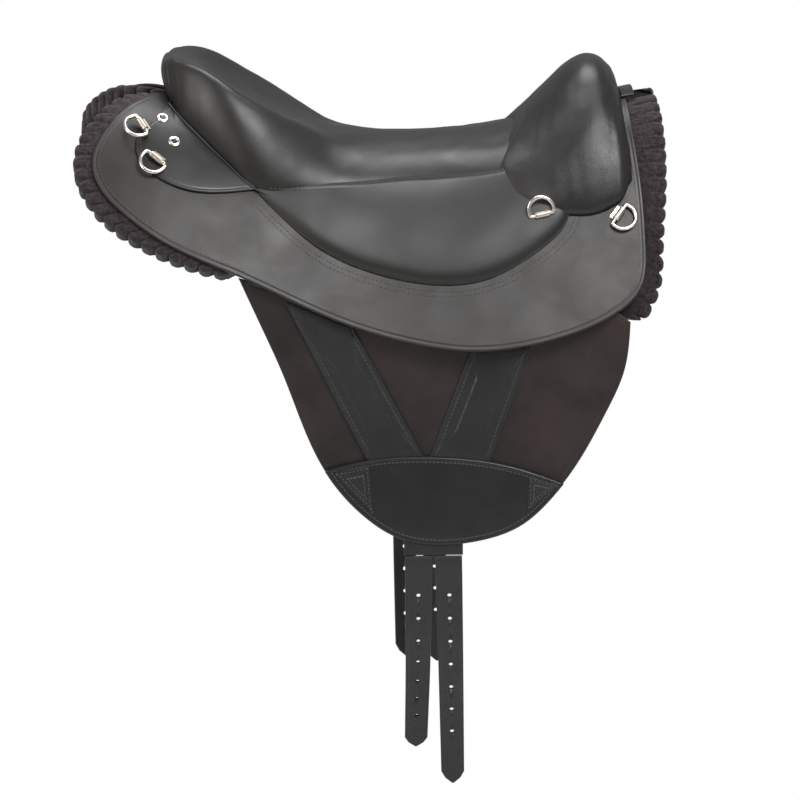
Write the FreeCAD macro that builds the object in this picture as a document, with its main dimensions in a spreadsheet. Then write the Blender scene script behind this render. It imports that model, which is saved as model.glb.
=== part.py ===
import FreeCAD, Part
import math
import os

from FreeCAD import Placement, Rotation, Vector

# Endurance saddle. Millimetres, X towards the horse's head, Y to its left, Z up.
# The origin is the middle of the place where the saddle sits on the horse's back.
# Everything is made for the right-hand side (Y below zero) and mirrored for the left.

doc = FreeCAD.newDocument("endurance_saddle")
sheet = doc.addObject("Spreadsheet::Sheet", "Sizes")

SIZES = [
    ("spine_height", 28.0, "top of the wool panels over the spine at mid length"),
    ("rear_rise", 71.0, "how far that line climbs towards the cantle"),
    ("front_rise", 65.0, "how far it climbs towards the withers"),
    ("rear_rise_start", 40.0, "station where the rear climb starts"),
    ("front_rise_start", 50.0, "station where the front climb starts"),
    ("rear_rise_length", 300.0, "length of the rear climb"),
    ("front_rise_length", 270.0, "length of the front climb"),
    ("crown_radius", 150.0, "radius over the spine at mid length"),
    ("rear_crown_cut", 35.0, "how much smaller that radius gets at the rear"),
    ("front_crown_cut", 60.0, "how much smaller it gets at the front"),
    ("crown_angle", 48.0, "slope where the crown radius ends"),
    ("rear_crown_angle_cut", 8.0, "how much less that is at the rear"),
    ("front_crown_angle_gain", 2.0, "how much more it is at the front"),
    ("side_radius", 300.0, "radius of the sides below the crown"),
    ("side_angle", 74.0, "steepest slope of the sides"),
    ("rear_side_angle_cut", 20.0, "how much less steep the rear is"),
    ("pattern_angle", 48.0, "slope of the plane on which the side patterns are cut"),
    ("layer_gap", 0.3, "air between leather layers"),
    ("wool_thickness", 25.0, "thickness of the wool panels"),
    ("scallop_pitch", 15.5, "length of one scallop along the wool edge"),
    ("scallop_depth", 4.5, "how far a scallop stands out"),
    ("channel_width", 70.0, "width of the spine channel at mid length"),
    ("channel_end_width", 20.0, "width of the spine channel at its ends"),
    ("channel_length", 560.0, "length of the spine channel"),
    ("skirt_thickness", 4.0, "thickness of the upper skirts"),
    ("skirt_flare_angle", 60.0, "slope at which the skirts leave the panels"),
    ("skirt_split", 30.0, "width between the two skirts over the spine"),
    ("tree_thickness", 7.0, "thickness of the tree shell"),
    ("tree_share", 0.7, "part of the crown angle that the tree covers"),
    ("tree_rear", -200.0, "rear end of the tree"),
    ("tree_front", 255.0, "front end of the tree"),
    ("gullet_plate_thickness", 3.0, "thickness of the front arch plate"),
    ("gullet_plate_width", 34.0, "length of the front arch plate along the saddle"),
    ("gullet_plate_x", 230.0, "middle of the front arch plate"),
    ("cantle_plate_thickness", 4.0, "thickness of the upright cantle plate"),
    ("cantle_plate_x", -188.0, "station of the cantle plate"),
    ("cantle_plate_rise", 32.0, "height of the cantle plate over the tree"),
    ("cantle_foot_length", 22.0, "length of the foot of the cantle plate"),
    ("rivet_radius", 2.5, "shank radius of the tree rivets"),
    ("rivet_head_radius", 4.6, "head radius of the tree rivets"),
    ("rivet_head_depth", 1.8, "depth of the countersunk heads"),
    ("rivet_clearance", 0.1, "play of a rivet in its hole"),
    ("cover_thickness", 2.0, "thickness of the cover leather"),
    ("seat_edge_height", 4.0, "height of the folded lower edge of the seat"),
    ("flank_bulge", 0.09, "bulge of the seat flanks, as a share of their width"),
    ("side_panel_crown", 8.0, "height of the padded side panels"),
    ("side_panel_edge", 2.0, "edge height of the padded side panels"),
    ("patch_thickness", 3.0, "thickness of the cantle patches and the binding"),
    ("eyelet_hole_radius", 2.8, "hole radius of the eyelets"),
    ("eyelet_barrel_wall", 0.8, "wall of the eyelet barrels"),
    ("eyelet_flange_radius", 6.5, "flange radius of the eyelets"),
    ("eyelet_flange_height", 1.2, "flange height of the eyelets"),
    ("ring_inner_width", 22.0, "inner width of the dee rings"),
    ("ring_wire", 4.0, "wire diameter of the dee rings"),
    ("ring_leg", 5.0, "straight length of the dee ring legs"),
    ("clip_width", 18.0, "width of the ring clips"),
    ("clip_wall", 1.5, "sheet thickness of the ring clips"),
    ("clip_tab", 9.0, "length of the clip tabs"),
    ("clip_play", 0.3, "play of a ring bar in its clip"),
    ("stirrup_bar_width", 66.0, "width of the stirrup bars"),
    ("stirrup_bar_depth", 34.0, "depth of the stirrup bars"),
    ("stirrup_bar_wire", 6.0, "thickness of the stirrup bars"),
    ("stirrup_bar_x", 96.0, "station of the stirrup bars"),
    ("stirrup_lug_width", 40.0, "width of the lugs of the stirrup bars"),
    ("stirrup_lug_length", 22.0, "length of those lugs under the tree"),
    ("stirrup_lug_thickness", 3.0, "thickness of those lugs"),
    ("stirrup_rivet_shift", 11.0, "shift of their rivets to both sides"),
    ("stirrup_bar_sink", 1.6, "depth of the loops in their pockets"),
    ("stirrup_lug_sink", 0.8, "depth of the lugs below the back surface"),
    ("stirrup_lug_lap", 4.0, "how far a lug laps over its loop"),
    ("stirrup_way_width", 58.0, "width of the way of the stirrup leathers"),
    ("stirrup_pocket_play", 3.0, "room round a stirrup bar in its pocket"),
    ("stirrup_strap_room", 5.0, "room for the stirrup leather behind the bar"),
    ("flap_thickness", 3.5, "thickness of the sweat flaps"),
    ("flap_lean", 8.0, "lean of the hanging flaps from upright, in degrees"),
    ("flap_hinge_drop", 123.0, "drop of the flap hinge below the spine height"),
    ("flap_skirt_room", 3.2, "room between a flap hinge and the skirt over it"),
    ("flap_web_gap", 1.2, "gap between a flap and its web"),
    ("strap_thickness", 3.0, "thickness of the rigging straps and the yoke"),
    ("girth_patch_cover", 2.3, "leather of a girth patch over the straps"),
    ("billet_thickness", 3.5, "thickness of the billets"),
    ("billet_top_width", 27.5, "width of a billet at its top"),
    ("billet_tip_width", 24.0, "width of a billet above its point"),
    ("billet_point", 14.0, "length of the point of a billet"),
    ("billet_length", 237.0, "length of a billet below its hinge"),
    ("billet_gap", 3.5, "gap between the two billets of a side"),
    ("billet_hinge_gap", 0.3, "gap between a billet and its yoke"),
    ("billet_first_hole", 41.0, "first billet hole below the hinge"),
    ("billet_hole_pitch", 25.4, "pitch of the billet holes"),
    ("billet_hole_radius", 2.2, "radius of the billet holes"),
    ("billet_straight", 55.0, "straight length of a billet above its bend"),
    ("rear_billet_bend", 26.0, "bend of the rear billets towards the horse"),
    ("front_billet_bend", 5.0, "bend of the front billets towards the horse"),
]
BILLET_HOLES = 7

for row, (alias, value, note) in enumerate(SIZES, start=1):
    sheet.set("A%d" % row, alias)
    sheet.set("B%d" % row, str(value))
    sheet.setAlias("B%d" % row, alias)
    sheet.set("C%d" % row, note)
doc.recompute()


def mm(alias):
    """Value of a named size."""
    return float(sheet.get(alias))


STATION_STEP = 80.0
STATION_END = 320.0
STATIONS = [STATION_STEP * k - STATION_END for k in range(9)]
FAR = 400.0

parts = {}


def keep(label, item):
    """Register a finished sub-part under its node name."""
    item.Label = label
    parts[label] = item
    return item


def add_shape(label, shape, place=Placement()):
    """Put a computed shape into the document as a sub-part."""
    item = doc.addObject("Part::Feature", label)
    item.Shape = shape
    item.Placement = place
    return keep(label, item)


def mirrored(shape):
    """The same shape on the other side of the saddle."""
    return shape.mirror(Vector(0, 0, 0), Vector(0, 1, 0))


def other_hand(place):
    """Placement on the left of a shape that was mirrored in its own XZ plane."""
    turn = place.Rotation.Q
    base = Vector(place.Base.x, -place.Base.y, place.Base.z)
    return Placement(base, Rotation(-turn[0], turn[1], -turn[2], turn[3]))


def add_pair(label, shape, place=Placement()):
    """Right-hand sub-part and its mirror image on the left."""
    add_shape(label + "_right", shape, place)
    add_shape(label + "_left", mirrored(shape), other_hand(place))


# The back surface: top of the wool panels, an arc over the spine that runs into
# a flatter arc and then into a straight side, at every station along the saddle.


def climb(share):
    """Smooth step from 0 to 1."""
    share = min(max(share, 0.0), 1.0)
    return share * share * (3.0 - 2.0 * share)


def back_values(x):
    """Spine height, crown radius, crown angle and side angle at station x."""
    rear = climb((mm("rear_rise_start") - x) / mm("rear_rise_length"))
    front = climb((x - mm("front_rise_start")) / mm("front_rise_length"))
    top = mm("spine_height") + mm("rear_rise") * rear + mm("front_rise") * front
    radius = mm("crown_radius") - mm("rear_crown_cut") * rear - mm("front_crown_cut") * front
    crown = (
        mm("crown_angle")
        - mm("rear_crown_angle_cut") * rear
        + mm("front_crown_angle_gain") * front
    )
    side = mm("side_angle") - mm("rear_side_angle_cut") * rear
    return top, radius, math.radians(crown), math.radians(side)


def back_point(x, run, offset=0.0, steepest=90.0):
    """Point and slope at arc length run from the spine, offset along the normal."""
    top, radius, crown, side = back_values(x)
    side = min(side, math.radians(steepest))
    flat = mm("side_radius")
    crown_run = radius * crown
    side_run = crown_run + flat * (side - crown)
    if run <= crown_run:
        slope = run / radius
        out = radius * math.sin(slope)
        down = radius * (1.0 - math.cos(slope))
    else:
        slope = min(crown + (run - crown_run) / flat, side)
        straight = max(run - side_run, 0.0)
        out = radius * math.sin(crown) + flat * (math.sin(slope) - math.sin(crown))
        out += straight * math.cos(slope)
        down = radius * (1.0 - math.cos(crown)) + flat * (math.cos(crown) - math.cos(slope))
        down += straight * math.sin(slope)
    out += offset * math.sin(slope)
    height = top - down + offset * math.cos(slope)
    return Vector(x, -out, height), slope


def run_at_height(x, height, steepest=90.0):
    """Arc length at which the back surface has the given height."""
    low, high = 0.0, FAR
    for _ in range(40):
        middle = 0.5 * (low + high)
        if back_point(x, middle, 0.0, steepest)[0].z > height:
            low = middle
        else:
            high = middle
    return low


def layer_section(x, low, high, steepest, reach):
    """Closed section of a layer between two offsets from the back surface."""
    top, radius, crown, side = back_values(x)
    side = min(side, math.radians(steepest))
    crown_run = radius * crown
    side_run = crown_run + mm("side_radius") * (side - crown)
    runs = [0.0, 0.5 * crown_run, crown_run, 0.5 * (crown_run + side_run), side_run, reach]
    outer = [back_point(x, run, high, steepest)[0] for run in runs]
    inner = [back_point(x, run, low, steepest)[0] for run in runs]
    edges = [
        Part.Arc(outer[0], outer[1], outer[2]).toShape(),
        Part.Arc(outer[2], outer[3], outer[4]).toShape(),
        Part.LineSegment(outer[4], outer[5]).toShape(),
        Part.LineSegment(outer[5], inner[5]).toShape(),
        Part.LineSegment(inner[5], inner[4]).toShape(),
        Part.Arc(inner[4], inner[3], inner[2]).toShape(),
        Part.Arc(inner[2], inner[1], inner[0]).toShape(),
        Part.LineSegment(inner[0], outer[0]).toShape(),
    ]
    return Part.Wire(edges)


def layer(low, high, steepest=90.0, reach=380.0):
    """Right-hand half of a layer that follows the back surface."""
    sections = [layer_section(x, low, high, steepest, reach) for x in STATIONS]
    return Part.makeLoft(sections, True, False)


def arch(x, low, high, share):
    """Full-width section of a layer over the spine, within a share of the crown angle."""
    top, radius, crown, side = back_values(x)
    end = share * crown
    centre = top - radius

    def at(offset, slope):
        distance = radius + offset
        return Vector(x, distance * math.sin(slope), centre + distance * math.cos(slope))

    edges = [
        Part.Arc(at(high, -end), at(high, 0.0), at(high, end)).toShape(),
        Part.LineSegment(at(high, end), at(low, end)).toShape(),
        Part.Arc(at(low, end), at(low, 0.0), at(low, -end)).toShape(),
        Part.LineSegment(at(low, -end), at(high, -end)).toShape(),
    ]
    return Part.Wire(edges)


def arch_layer(rear, front, low, high, share, steps):
    """Full-width layer over the spine between two stations."""
    pitch = (front - rear) / steps
    sections = [arch(rear + pitch * k, low, high, share) for k in range(steps + 1)]
    return Part.makeLoft(sections, True, False)


# Patterns: outlines drawn on a plane that faces the side of the saddle, as
# (station, distance down the slope), and cut through the layers square to it.

SLOPE = math.radians(mm("pattern_angle"))
SQUARE = Vector(0.0, -math.sin(SLOPE), math.cos(SLOPE))
DOWN = Vector(0.0, -math.cos(SLOPE), -math.sin(SLOPE))


def on_pattern(point):
    """Pattern point to space."""
    return Vector(point[0], 0.0, 0.0) + DOWN * point[1]


def spline(points, closed=False):
    """Smooth edge through the given points."""
    curve = Part.BSplineCurve()
    curve.interpolate(points, PeriodicFlag=closed)
    return curve.toShape()


def prism(edges, direction, length):
    """Solid swept both ways from a closed set of edges."""
    wire = Part.Wire(Part.__sortEdges__(edges))
    face = Part.Face(wire)
    face.translate(direction * -length)
    return face.extrude(direction * (2.0 * length))


# The outlines of the side patterns, read as real lengths.

SKIRT_FRONT_TOP = (272.0, -54.0)
SKIRT_REAR_TOP = (-205.0, -61.0)
SKIRT_EDGE = [
    SKIRT_FRONT_TOP,
    (276.0, 0.0),
    (282.5, 62.0),
    (285.0, 120.0),
    (277.0, 170.0),
    (254.0, 192.0),
    (194.0, 218.0),
    (107.0, 230.5),
    (32.0, 219.0),
    (-39.0, 197.0),
    (-140.0, 155.0),
    (-211.0, 126.0),
    (-246.0, 100.0),
    (-270.0, 73.0),
    (-280.0, 39.0),
    (-267.0, 3.0),
    (-243.0, -31.0),
    SKIRT_REAR_TOP,
]
WOOL_REAR_EDGE = [
    (-205.0, -66.0),
    (-243.0, -56.0),
    (-275.0, -20.0),
    (-292.0, 14.0),
    (-296.0, 42.0),
    (-287.0, 75.0),
    (-266.0, 104.0),
    (-221.0, 134.0),
    (-172.0, 152.0),
    (-142.0, 156.0),
]
WOOL_FRONT_EDGE = [
    (262.0, 186.0),
    (280.0, 183.0),
    (292.0, 158.0),
    (296.0, 122.0),
    (298.0, 74.0),
    (300.0, 30.0),
    (300.0, -2.0),
    (300.0, -61.0),
]
WOOL_HIDDEN_EDGE = [(-131.0, 142.0), (238.0, 142.0), (246.0, 184.0)]
CANTLE_PATCH_EDGE = [
    (-199.0, -60.0),
    (-213.0, -22.0),
    (-231.0, 4.0),
    (-234.0, 34.0),
    (-216.0, 57.0),
    (-180.0, 71.0),
    (-112.0, 67.0),
]


def scalloped(points):
    """Row of outward arcs of even pitch along a smooth guide through the points."""
    guide = spline([on_pattern(p) for p in points])
    count = max(3, round(guide.Length / mm("scallop_pitch")))
    ends = guide.discretize(count + 1)
    arcs = []
    for start, end in zip(ends[:-1], ends[1:]):
        chord = end - start
        outward = chord.cross(SQUARE)
        outward.normalize()
        arcs.append(Part.Arc(start, (start + end) * 0.5 + outward * mm("scallop_depth"), end))
    return [arc.toShape() for arc in arcs], ends[0], ends[-1]


def line_chain(points):
    """Straight edges from point to point."""
    return [Part.LineSegment(a, b).toShape() for a, b in zip(points[:-1], points[1:])]


def channel():
    """Room over the horse's spine, narrower at both ends, seen from above."""
    half_length = 0.5 * mm("channel_length")
    half_end = 0.5 * mm("channel_end_width")
    half_middle = 0.5 * mm("channel_width")
    corners = [
        Vector(-half_length, -half_end, 0),
        Vector(0, -half_middle, 0),
        Vector(half_length, -half_end, 0),
        Vector(half_length, half_end, 0),
        Vector(0, half_middle, 0),
        Vector(-half_length, half_end, 0),
    ]
    edges = [
        Part.Arc(corners[0], corners[1], corners[2]).toShape(),
        Part.LineSegment(corners[2], corners[3]).toShape(),
        Part.Arc(corners[3], corners[4], corners[5]).toShape(),
        Part.LineSegment(corners[5], corners[0]).toShape(),
    ]
    return prism(edges, Vector(0, 0, 1), FAR)


# Frames on the back surface, in which hardware is placed: X towards the head,
# Y up the slope and Z out of the leather, turned about Z.


def back_frame(x, run, offset, turn=0.0, steepest=90.0):
    """Placement on the back surface."""
    point = back_point(x, run, offset, steepest)[0]
    before = back_point(x - 1.0, run, offset, steepest)[0]
    after = back_point(x + 1.0, run, offset, steepest)[0]
    above = back_point(x, run - 1.0, offset, steepest)[0]
    below = back_point(x, run + 1.0, offset, steepest)[0]
    ahead = after - before
    upward = above - below
    frame = Rotation(ahead, upward, ahead.cross(upward), "ZXY")
    return Placement(point, frame.multiply(Rotation(Vector(0, 0, 1), turn)))


def other_side(place):
    """Placement on the left of a piece that is alike on both sides of its own YZ plane."""
    across = place.Rotation.multVec(Vector(-1, 0, 0))
    upward = place.Rotation.multVec(Vector(0, 1, 0))
    outward = place.Rotation.multVec(Vector(0, 0, 1))
    for axis in (across, upward, outward):
        axis.y = -axis.y
    turned = Rotation(across, upward, outward, "ZYX")
    return Placement(Vector(place.Base.x, -place.Base.y, place.Base.z), turned)


def run_at_pattern(x, distance, offset, steepest=90.0):
    """Arc length at which the back surface meets a pattern distance."""
    low, high = 0.0, FAR
    for _ in range(40):
        middle = 0.5 * (low + high)
        if back_point(x, middle, offset, steepest)[0].dot(DOWN) < distance:
            low = middle
        else:
            high = middle
    return low


def placed(shape, place):
    """Copy of a shape at a placement."""
    copy = shape.copy()
    copy.Placement = place
    return copy


GAP = mm("layer_gap")
TREE_TOP = GAP + mm("tree_thickness")
SKIRT_TOP = GAP + mm("skirt_thickness")
PATCH_TOP = SKIRT_TOP + GAP + mm("patch_thickness")
FLARE = mm("skirt_flare_angle")
SEAT_BOTTOM = TREE_TOP + GAP
PLATE_TOP = SEAT_BOTTOM + mm("gullet_plate_thickness")

# Seat stations: (station, half width of the lower edge, distance of the rim from the
# middle, height of the rim and of the middle over the spine line).

SEAT = [
    (-210.0, 26.0, 12.0, 26.0, 27.0),
    (-203.0, 46.0, 26.0, 39.0, 40.0),
    (-190.0, 64.0, 42.0, 45.0, 44.0),
    (-172.0, 80.0, 56.0, 46.0, 40.0),
    (-154.0, 93.0, 70.0, 40.0, 28.0),
    (-139.0, 102.0, 78.0, 31.0, 20.0),
    (-124.0, 110.0, 81.0, 24.0, 16.0),
    (-104.0, 115.0, 79.0, 21.0, 15.5),
    (-80.0, 113.0, 68.0, 20.0, 16.5),
    (-45.0, 105.0, 56.0, 19.0, 20.5),
    (0.0, 94.0, 48.0, 18.0, 25.5),
    (40.0, 86.0, 44.0, 19.0, 27.0),
    (80.0, 86.0, 44.0, 19.0, 27.0),
    (125.0, 91.0, 46.0, 13.0, 21.0),
    (172.0, 92.0, 46.0, 4.0, 12.5),
]


FOLD_DRAW = 1.6


def seat_section(station, inset, bottom_offset):
    """Closed section of the seat, drawn in by inset everywhere but below."""
    x, half_width, rim, rim_height, middle_height = station
    top, radius, crown, side = back_values(x)
    bottom = radius + bottom_offset
    centre = top - radius
    half_width = half_width - inset

    def under(y):
        return Vector(x, y, centre + math.sqrt(bottom * bottom - y * y))

    edge = under(-half_width)
    seated = radius + SEAT_BOTTOM
    fold_height = math.sqrt(seated * seated - half_width * half_width) + mm("seat_edge_height")
    fold = Vector(x, -half_width, centre + fold_height - FOLD_DRAW * inset)
    shoulder = Vector(x, -rim + 0.3 * inset, top + rim_height - inset)
    crest = Vector(x, 0, top + middle_height - inset)
    flank = shoulder - fold
    bulge = Vector(0, -flank.z, flank.y) * mm("flank_bulge")
    if bulge.z < 0.0:
        bulge = bulge * -1.0
    belly = (fold + shoulder) * 0.5 + bulge

    def twin(p):
        return Vector(p.x, -p.y, p.z)

    edges = [
        Part.LineSegment(edge, fold).toShape(),
        Part.Arc(fold, belly, shoulder).toShape(),
        Part.Arc(shoulder, crest, twin(shoulder)).toShape(),
        Part.Arc(twin(shoulder), twin(belly), twin(fold)).toShape(),
        Part.LineSegment(twin(fold), twin(edge)).toShape(),
        Part.Arc(twin(edge), under(0.0), edge).toShape(),
    ]
    return Part.Wire(edges)


def seat_body(inset, bottom_offset):
    """Whole seat over an offset from the back surface, drawn in by inset."""
    rows = [list(row) for row in SEAT]
    rows[0][0] += inset
    rows[-1][0] -= inset
    return Part.makeLoft([seat_section(row, inset, bottom_offset) for row in rows], True, False)


# Pommel stations: (station, height of the top, half width of the base, height of the
# base), heights over the spine height.

POMMEL = [
    (124.0, 20.0, 84.0, 4.0),
    (140.0, 34.0, 103.0, -20.0),
    (161.0, 50.0, 116.0, -31.0),
    (188.0, 75.0, 125.0, -39.0),
    (212.0, 95.0, 128.0, -41.0),
    (232.0, 102.5, 128.0, -40.0),
    (251.0, 95.0, 125.0, -33.0),
    (263.0, 78.0, 121.0, -24.0),
    (270.0, 52.0, 112.0, -12.0),
]
POMMEL_SHOULDER = (0.47, 0.81)
POMMEL_FLANK = (0.82, 0.43)


def pommel_section(station, inset):
    """Closed section of the pommel swell."""
    x, height, half_width, base_height = station
    base_z = mm("spine_height") + base_height - 2.0 * abs(inset)
    top_z = mm("spine_height") + height - inset
    half_width = half_width - inset

    def at(share):
        return Vector(x, -half_width * share[0], base_z + (top_z - base_z) * share[1])

    base, flank, shoulder = at((1.0, 0.0)), at(POMMEL_FLANK), at(POMMEL_SHOULDER)
    crest = Vector(x, 0, top_z)

    def twin(p):
        return Vector(p.x, -p.y, p.z)

    edges = [
        Part.Arc(base, flank, shoulder).toShape(),
        Part.Arc(shoulder, crest, twin(shoulder)).toShape(),
        Part.Arc(twin(shoulder), twin(flank), twin(base)).toShape(),
        Part.LineSegment(twin(base), base).toShape(),
    ]
    return Part.Wire(edges)


def pommel_body(inset):
    """Pommel swell before its underside is cut out."""
    rows = [list(row) for row in POMMEL]
    rows[0][0] += inset
    rows[-1][0] -= inset
    return Part.makeLoft([pommel_section(row, inset) for row in rows], True, False)


# Side panel stations: (station, pattern distance of the lower arc, share of the crown).

SIDE_PANEL = [
    (-110.0, 70.0, 0.3),
    (-79.0, 102.0, 0.7),
    (-38.0, 132.0, 0.9),
    (12.0, 151.0, 1.0),
    (73.0, 162.0, 1.0),
    (124.0, 156.0, 0.9),
    (166.0, 132.0, 0.7),
    (196.0, 110.0, 0.3),
]
SIDE_PANEL_TUCK = 8.0


def seat_edge_at(x):
    """Half width of the lower edge of the seat at a station."""
    for before, after in zip(SEAT[:-1], SEAT[1:]):
        if before[0] <= x <= after[0]:
            share = (x - before[0]) / (after[0] - before[0])
            return before[1] + share * (after[1] - before[1])
    return SEAT[-1][1]


def side_panel_section(station, grow):
    """Closed section of a padded side panel, a crown on the skirt."""
    x, distance, share = station
    base = SKIRT_TOP - 1.0
    edge = SKIRT_TOP + mm("side_panel_edge") + grow
    crown = SKIRT_TOP + max(share * mm("side_panel_crown"), 1.2 * mm("side_panel_edge")) + grow
    low_run = run_at_pattern(x, distance + grow, SKIRT_TOP, FLARE)
    radius = back_values(x)[1]
    high_run = radius * math.asin(min(seat_edge_at(x) / (radius + SEAT_BOTTOM), 0.95)) - SIDE_PANEL_TUCK
    middle = 0.5 * (low_run + high_run)

    def at(run, offset):
        return back_point(x, run, offset, FLARE)[0]

    edges = [
        Part.LineSegment(at(high_run, base), at(high_run, edge)).toShape(),
        Part.Arc(at(high_run, edge), at(middle, crown), at(low_run, edge)).toShape(),
        Part.LineSegment(at(low_run, edge), at(low_run, base)).toShape(),
        Part.Arc(at(low_run, base), at(middle, base), at(high_run, base)).toShape(),
    ]
    return Part.Wire(edges)


def side_panel_body(grow):
    """Padded side panel before it is fitted to its neighbours."""
    return Part.makeLoft([side_panel_section(row, grow) for row in SIDE_PANEL], True, False)


# Flat pieces of the hanging flaps, drawn as (station, height over the flap hinge).

FLAP_TOP = [
    (268.0, -22.0),
    (250.0, -9.0),
    (194.0, -15.0),
    (107.0, -27.0),
    (32.0, -17.0),
    (-39.0, 1.0),
    (-132.0, 27.0),
]
FLAP_EDGE = [
    (-132.0, 27.0),
    (-108.0, -26.0),
    (-85.0, -74.0),
    (-60.0, -130.0),
    (-40.0, -171.0),
    (0.0, -224.0),
    (31.0, -243.0),
    (72.0, -250.0),
    (113.0, -246.0),
    (155.0, -231.0),
    (185.0, -205.0),
    (216.0, -164.0),
    (242.0, -117.0),
    (262.0, -71.0),
    (268.0, -22.0),
]
REAR_STRAP = [(-89.0, 10.0), (-18.0, -20.0), (59.0, -163.0), (3.0, -172.0)]
FRONT_STRAP = [(107.0, -42.0), (168.0, -42.0), (121.0, -173.0), (60.5, -163.0)]
GIRTH_PATCH_TOP = [
    (-80.0, -183.0),
    (-45.0, -171.0),
    (6.0, -160.0),
    (62.0, -158.0),
    (134.0, -166.0),
    (198.0, -187.0),
    (240.0, -206.0),
]
YOKE_TOP = -176.0
BILLET_HINGE = -263.0
REAR_BILLET_X = 50.0
FRONT_BILLET_LEAN = 6.0

FLAP_HINGE_Z = mm("spine_height") - mm("flap_hinge_drop")
HINGE_RUN = run_at_height(REAR_BILLET_X, FLAP_HINGE_Z, FLARE)
FLAP_HINGE_Y = back_point(REAR_BILLET_X, HINGE_RUN, GAP, FLARE)[0].y + mm("flap_skirt_room")
FLAP_FRAME = Placement(Vector(0, FLAP_HINGE_Y, FLAP_HINGE_Z), Rotation(Vector(1, 0, 0), -mm("flap_lean")))


def flat(point):
    """Point of a flap drawing to the flap's own XZ plane."""
    return Vector(point[0], 0, point[1])


def flap_plate(edges, low, high):
    """Plate of the hanging flap between two offsets from its inner face."""
    face = Part.Face(Part.Wire(Part.__sortEdges__(edges)))
    face.translate(Vector(0, -low, 0))
    return face.extrude(Vector(0, low - high, 0))


def loop(points):
    """Closed chain of straight edges through drawing points."""
    return line_chain([flat(p) for p in points + points[:1]])


def billet(bend, lean):
    """Billet hanging from its hinge, bent towards the horse, with its holes."""
    half = 0.5 * mm("billet_thickness")
    straight = mm("billet_straight")
    length = mm("billet_length")
    angle = math.radians(bend)
    bent = 0.42 * length
    radius = bent / angle

    def along(distance, offset):
        if distance <= straight:
            return Vector(0, offset, -distance), 0.0
        turn = min((distance - straight) / radius, angle)
        rest = max(distance - straight - bent, 0.0)
        inward = radius * (1.0 - math.cos(turn)) + rest * math.sin(turn)
        down = straight + radius * math.sin(turn) + rest * math.cos(turn)
        return Vector(0, inward + offset * math.cos(turn), -down + offset * math.sin(turn)), turn

    stops = [0.0, straight, straight + 0.5 * bent, straight + bent, length]
    out = [along(stop, -half)[0] for stop in stops]
    inn = [along(stop, half)[0] for stop in stops]
    edges = [
        Part.LineSegment(out[0], out[1]).toShape(),
        Part.Arc(out[1], out[2], out[3]).toShape(),
        Part.LineSegment(out[3], out[4]).toShape(),
        Part.LineSegment(out[4], inn[4]).toShape(),
        Part.LineSegment(inn[4], inn[3]).toShape(),
        Part.Arc(inn[3], inn[2], inn[1]).toShape(),
        Part.LineSegment(inn[1], inn[0]).toShape(),
        Part.Arc(inn[0], Vector(0, 0, half), out[0]).toShape(),
    ]
    strip = prism(edges, Vector(1, 0, 0), mm("billet_top_width"))
    tip_z = along(length, 0.0)[0].z
    shoulder_z = along(length - mm("billet_point"), 0.0)[0].z
    top_half = 0.5 * mm("billet_top_width")
    tip_half = 0.5 * mm("billet_tip_width")
    outline = [
        Vector(-top_half, 0, 2.0 * half),
        Vector(top_half, 0, 2.0 * half),
        Vector(top_half, 0, -straight * 0.2),
        Vector(lean + tip_half, 0, shoulder_z),
        Vector(lean + 0.12 * tip_half, 0, tip_z + 0.5),
        Vector(lean - 0.12 * tip_half, 0, tip_z + 0.5),
        Vector(lean - tip_half, 0, shoulder_z),
        Vector(-top_half, 0, -straight * 0.2),
        Vector(-top_half, 0, 2.0 * half),
    ]
    body = strip.common(prism(line_chain(outline), Vector(0, 1, 0), FAR))
    for k in range(BILLET_HOLES):
        distance = mm("billet_first_hole") + k * mm("billet_hole_pitch")
        centre, turn = along(distance, 0.0)
        centre.x = lean * distance / length
        through = Vector(0, math.cos(turn), math.sin(turn))
        start = centre - through * (4.0 * half)
        body = body.cut(Part.makeCylinder(mm("billet_hole_radius"), 8.0 * half, start, through))
    return body


# Rings: (name, station, pattern distance, height of the leather, turn, lift).

RINGS = [
    ("rear_upper", -229.0, 0.0, PATCH_TOP, 124.0, 4.0),
    ("rear_lower", -214.0, 40.0, PATCH_TOP, 147.0, 0.0),
    ("front_upper", 179.0, 94.0, SKIRT_TOP + 5.0, 0.0, 24.0),
    ("front_lower", 258.0, 92.0, SKIRT_TOP, -137.0, 0.0),
]
CLIP_RADIUS = 0.5 * mm("ring_wire") + mm("clip_play") + mm("clip_wall")


def ring_frame(ring):
    """Placement of a ring's bar, on the right-hand side."""
    name, x, distance, height, turn, lift = ring
    run = run_at_pattern(x, distance, height, FLARE)
    return back_frame(x, run, height + GAP + CLIP_RADIUS, turn, FLARE)


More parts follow.
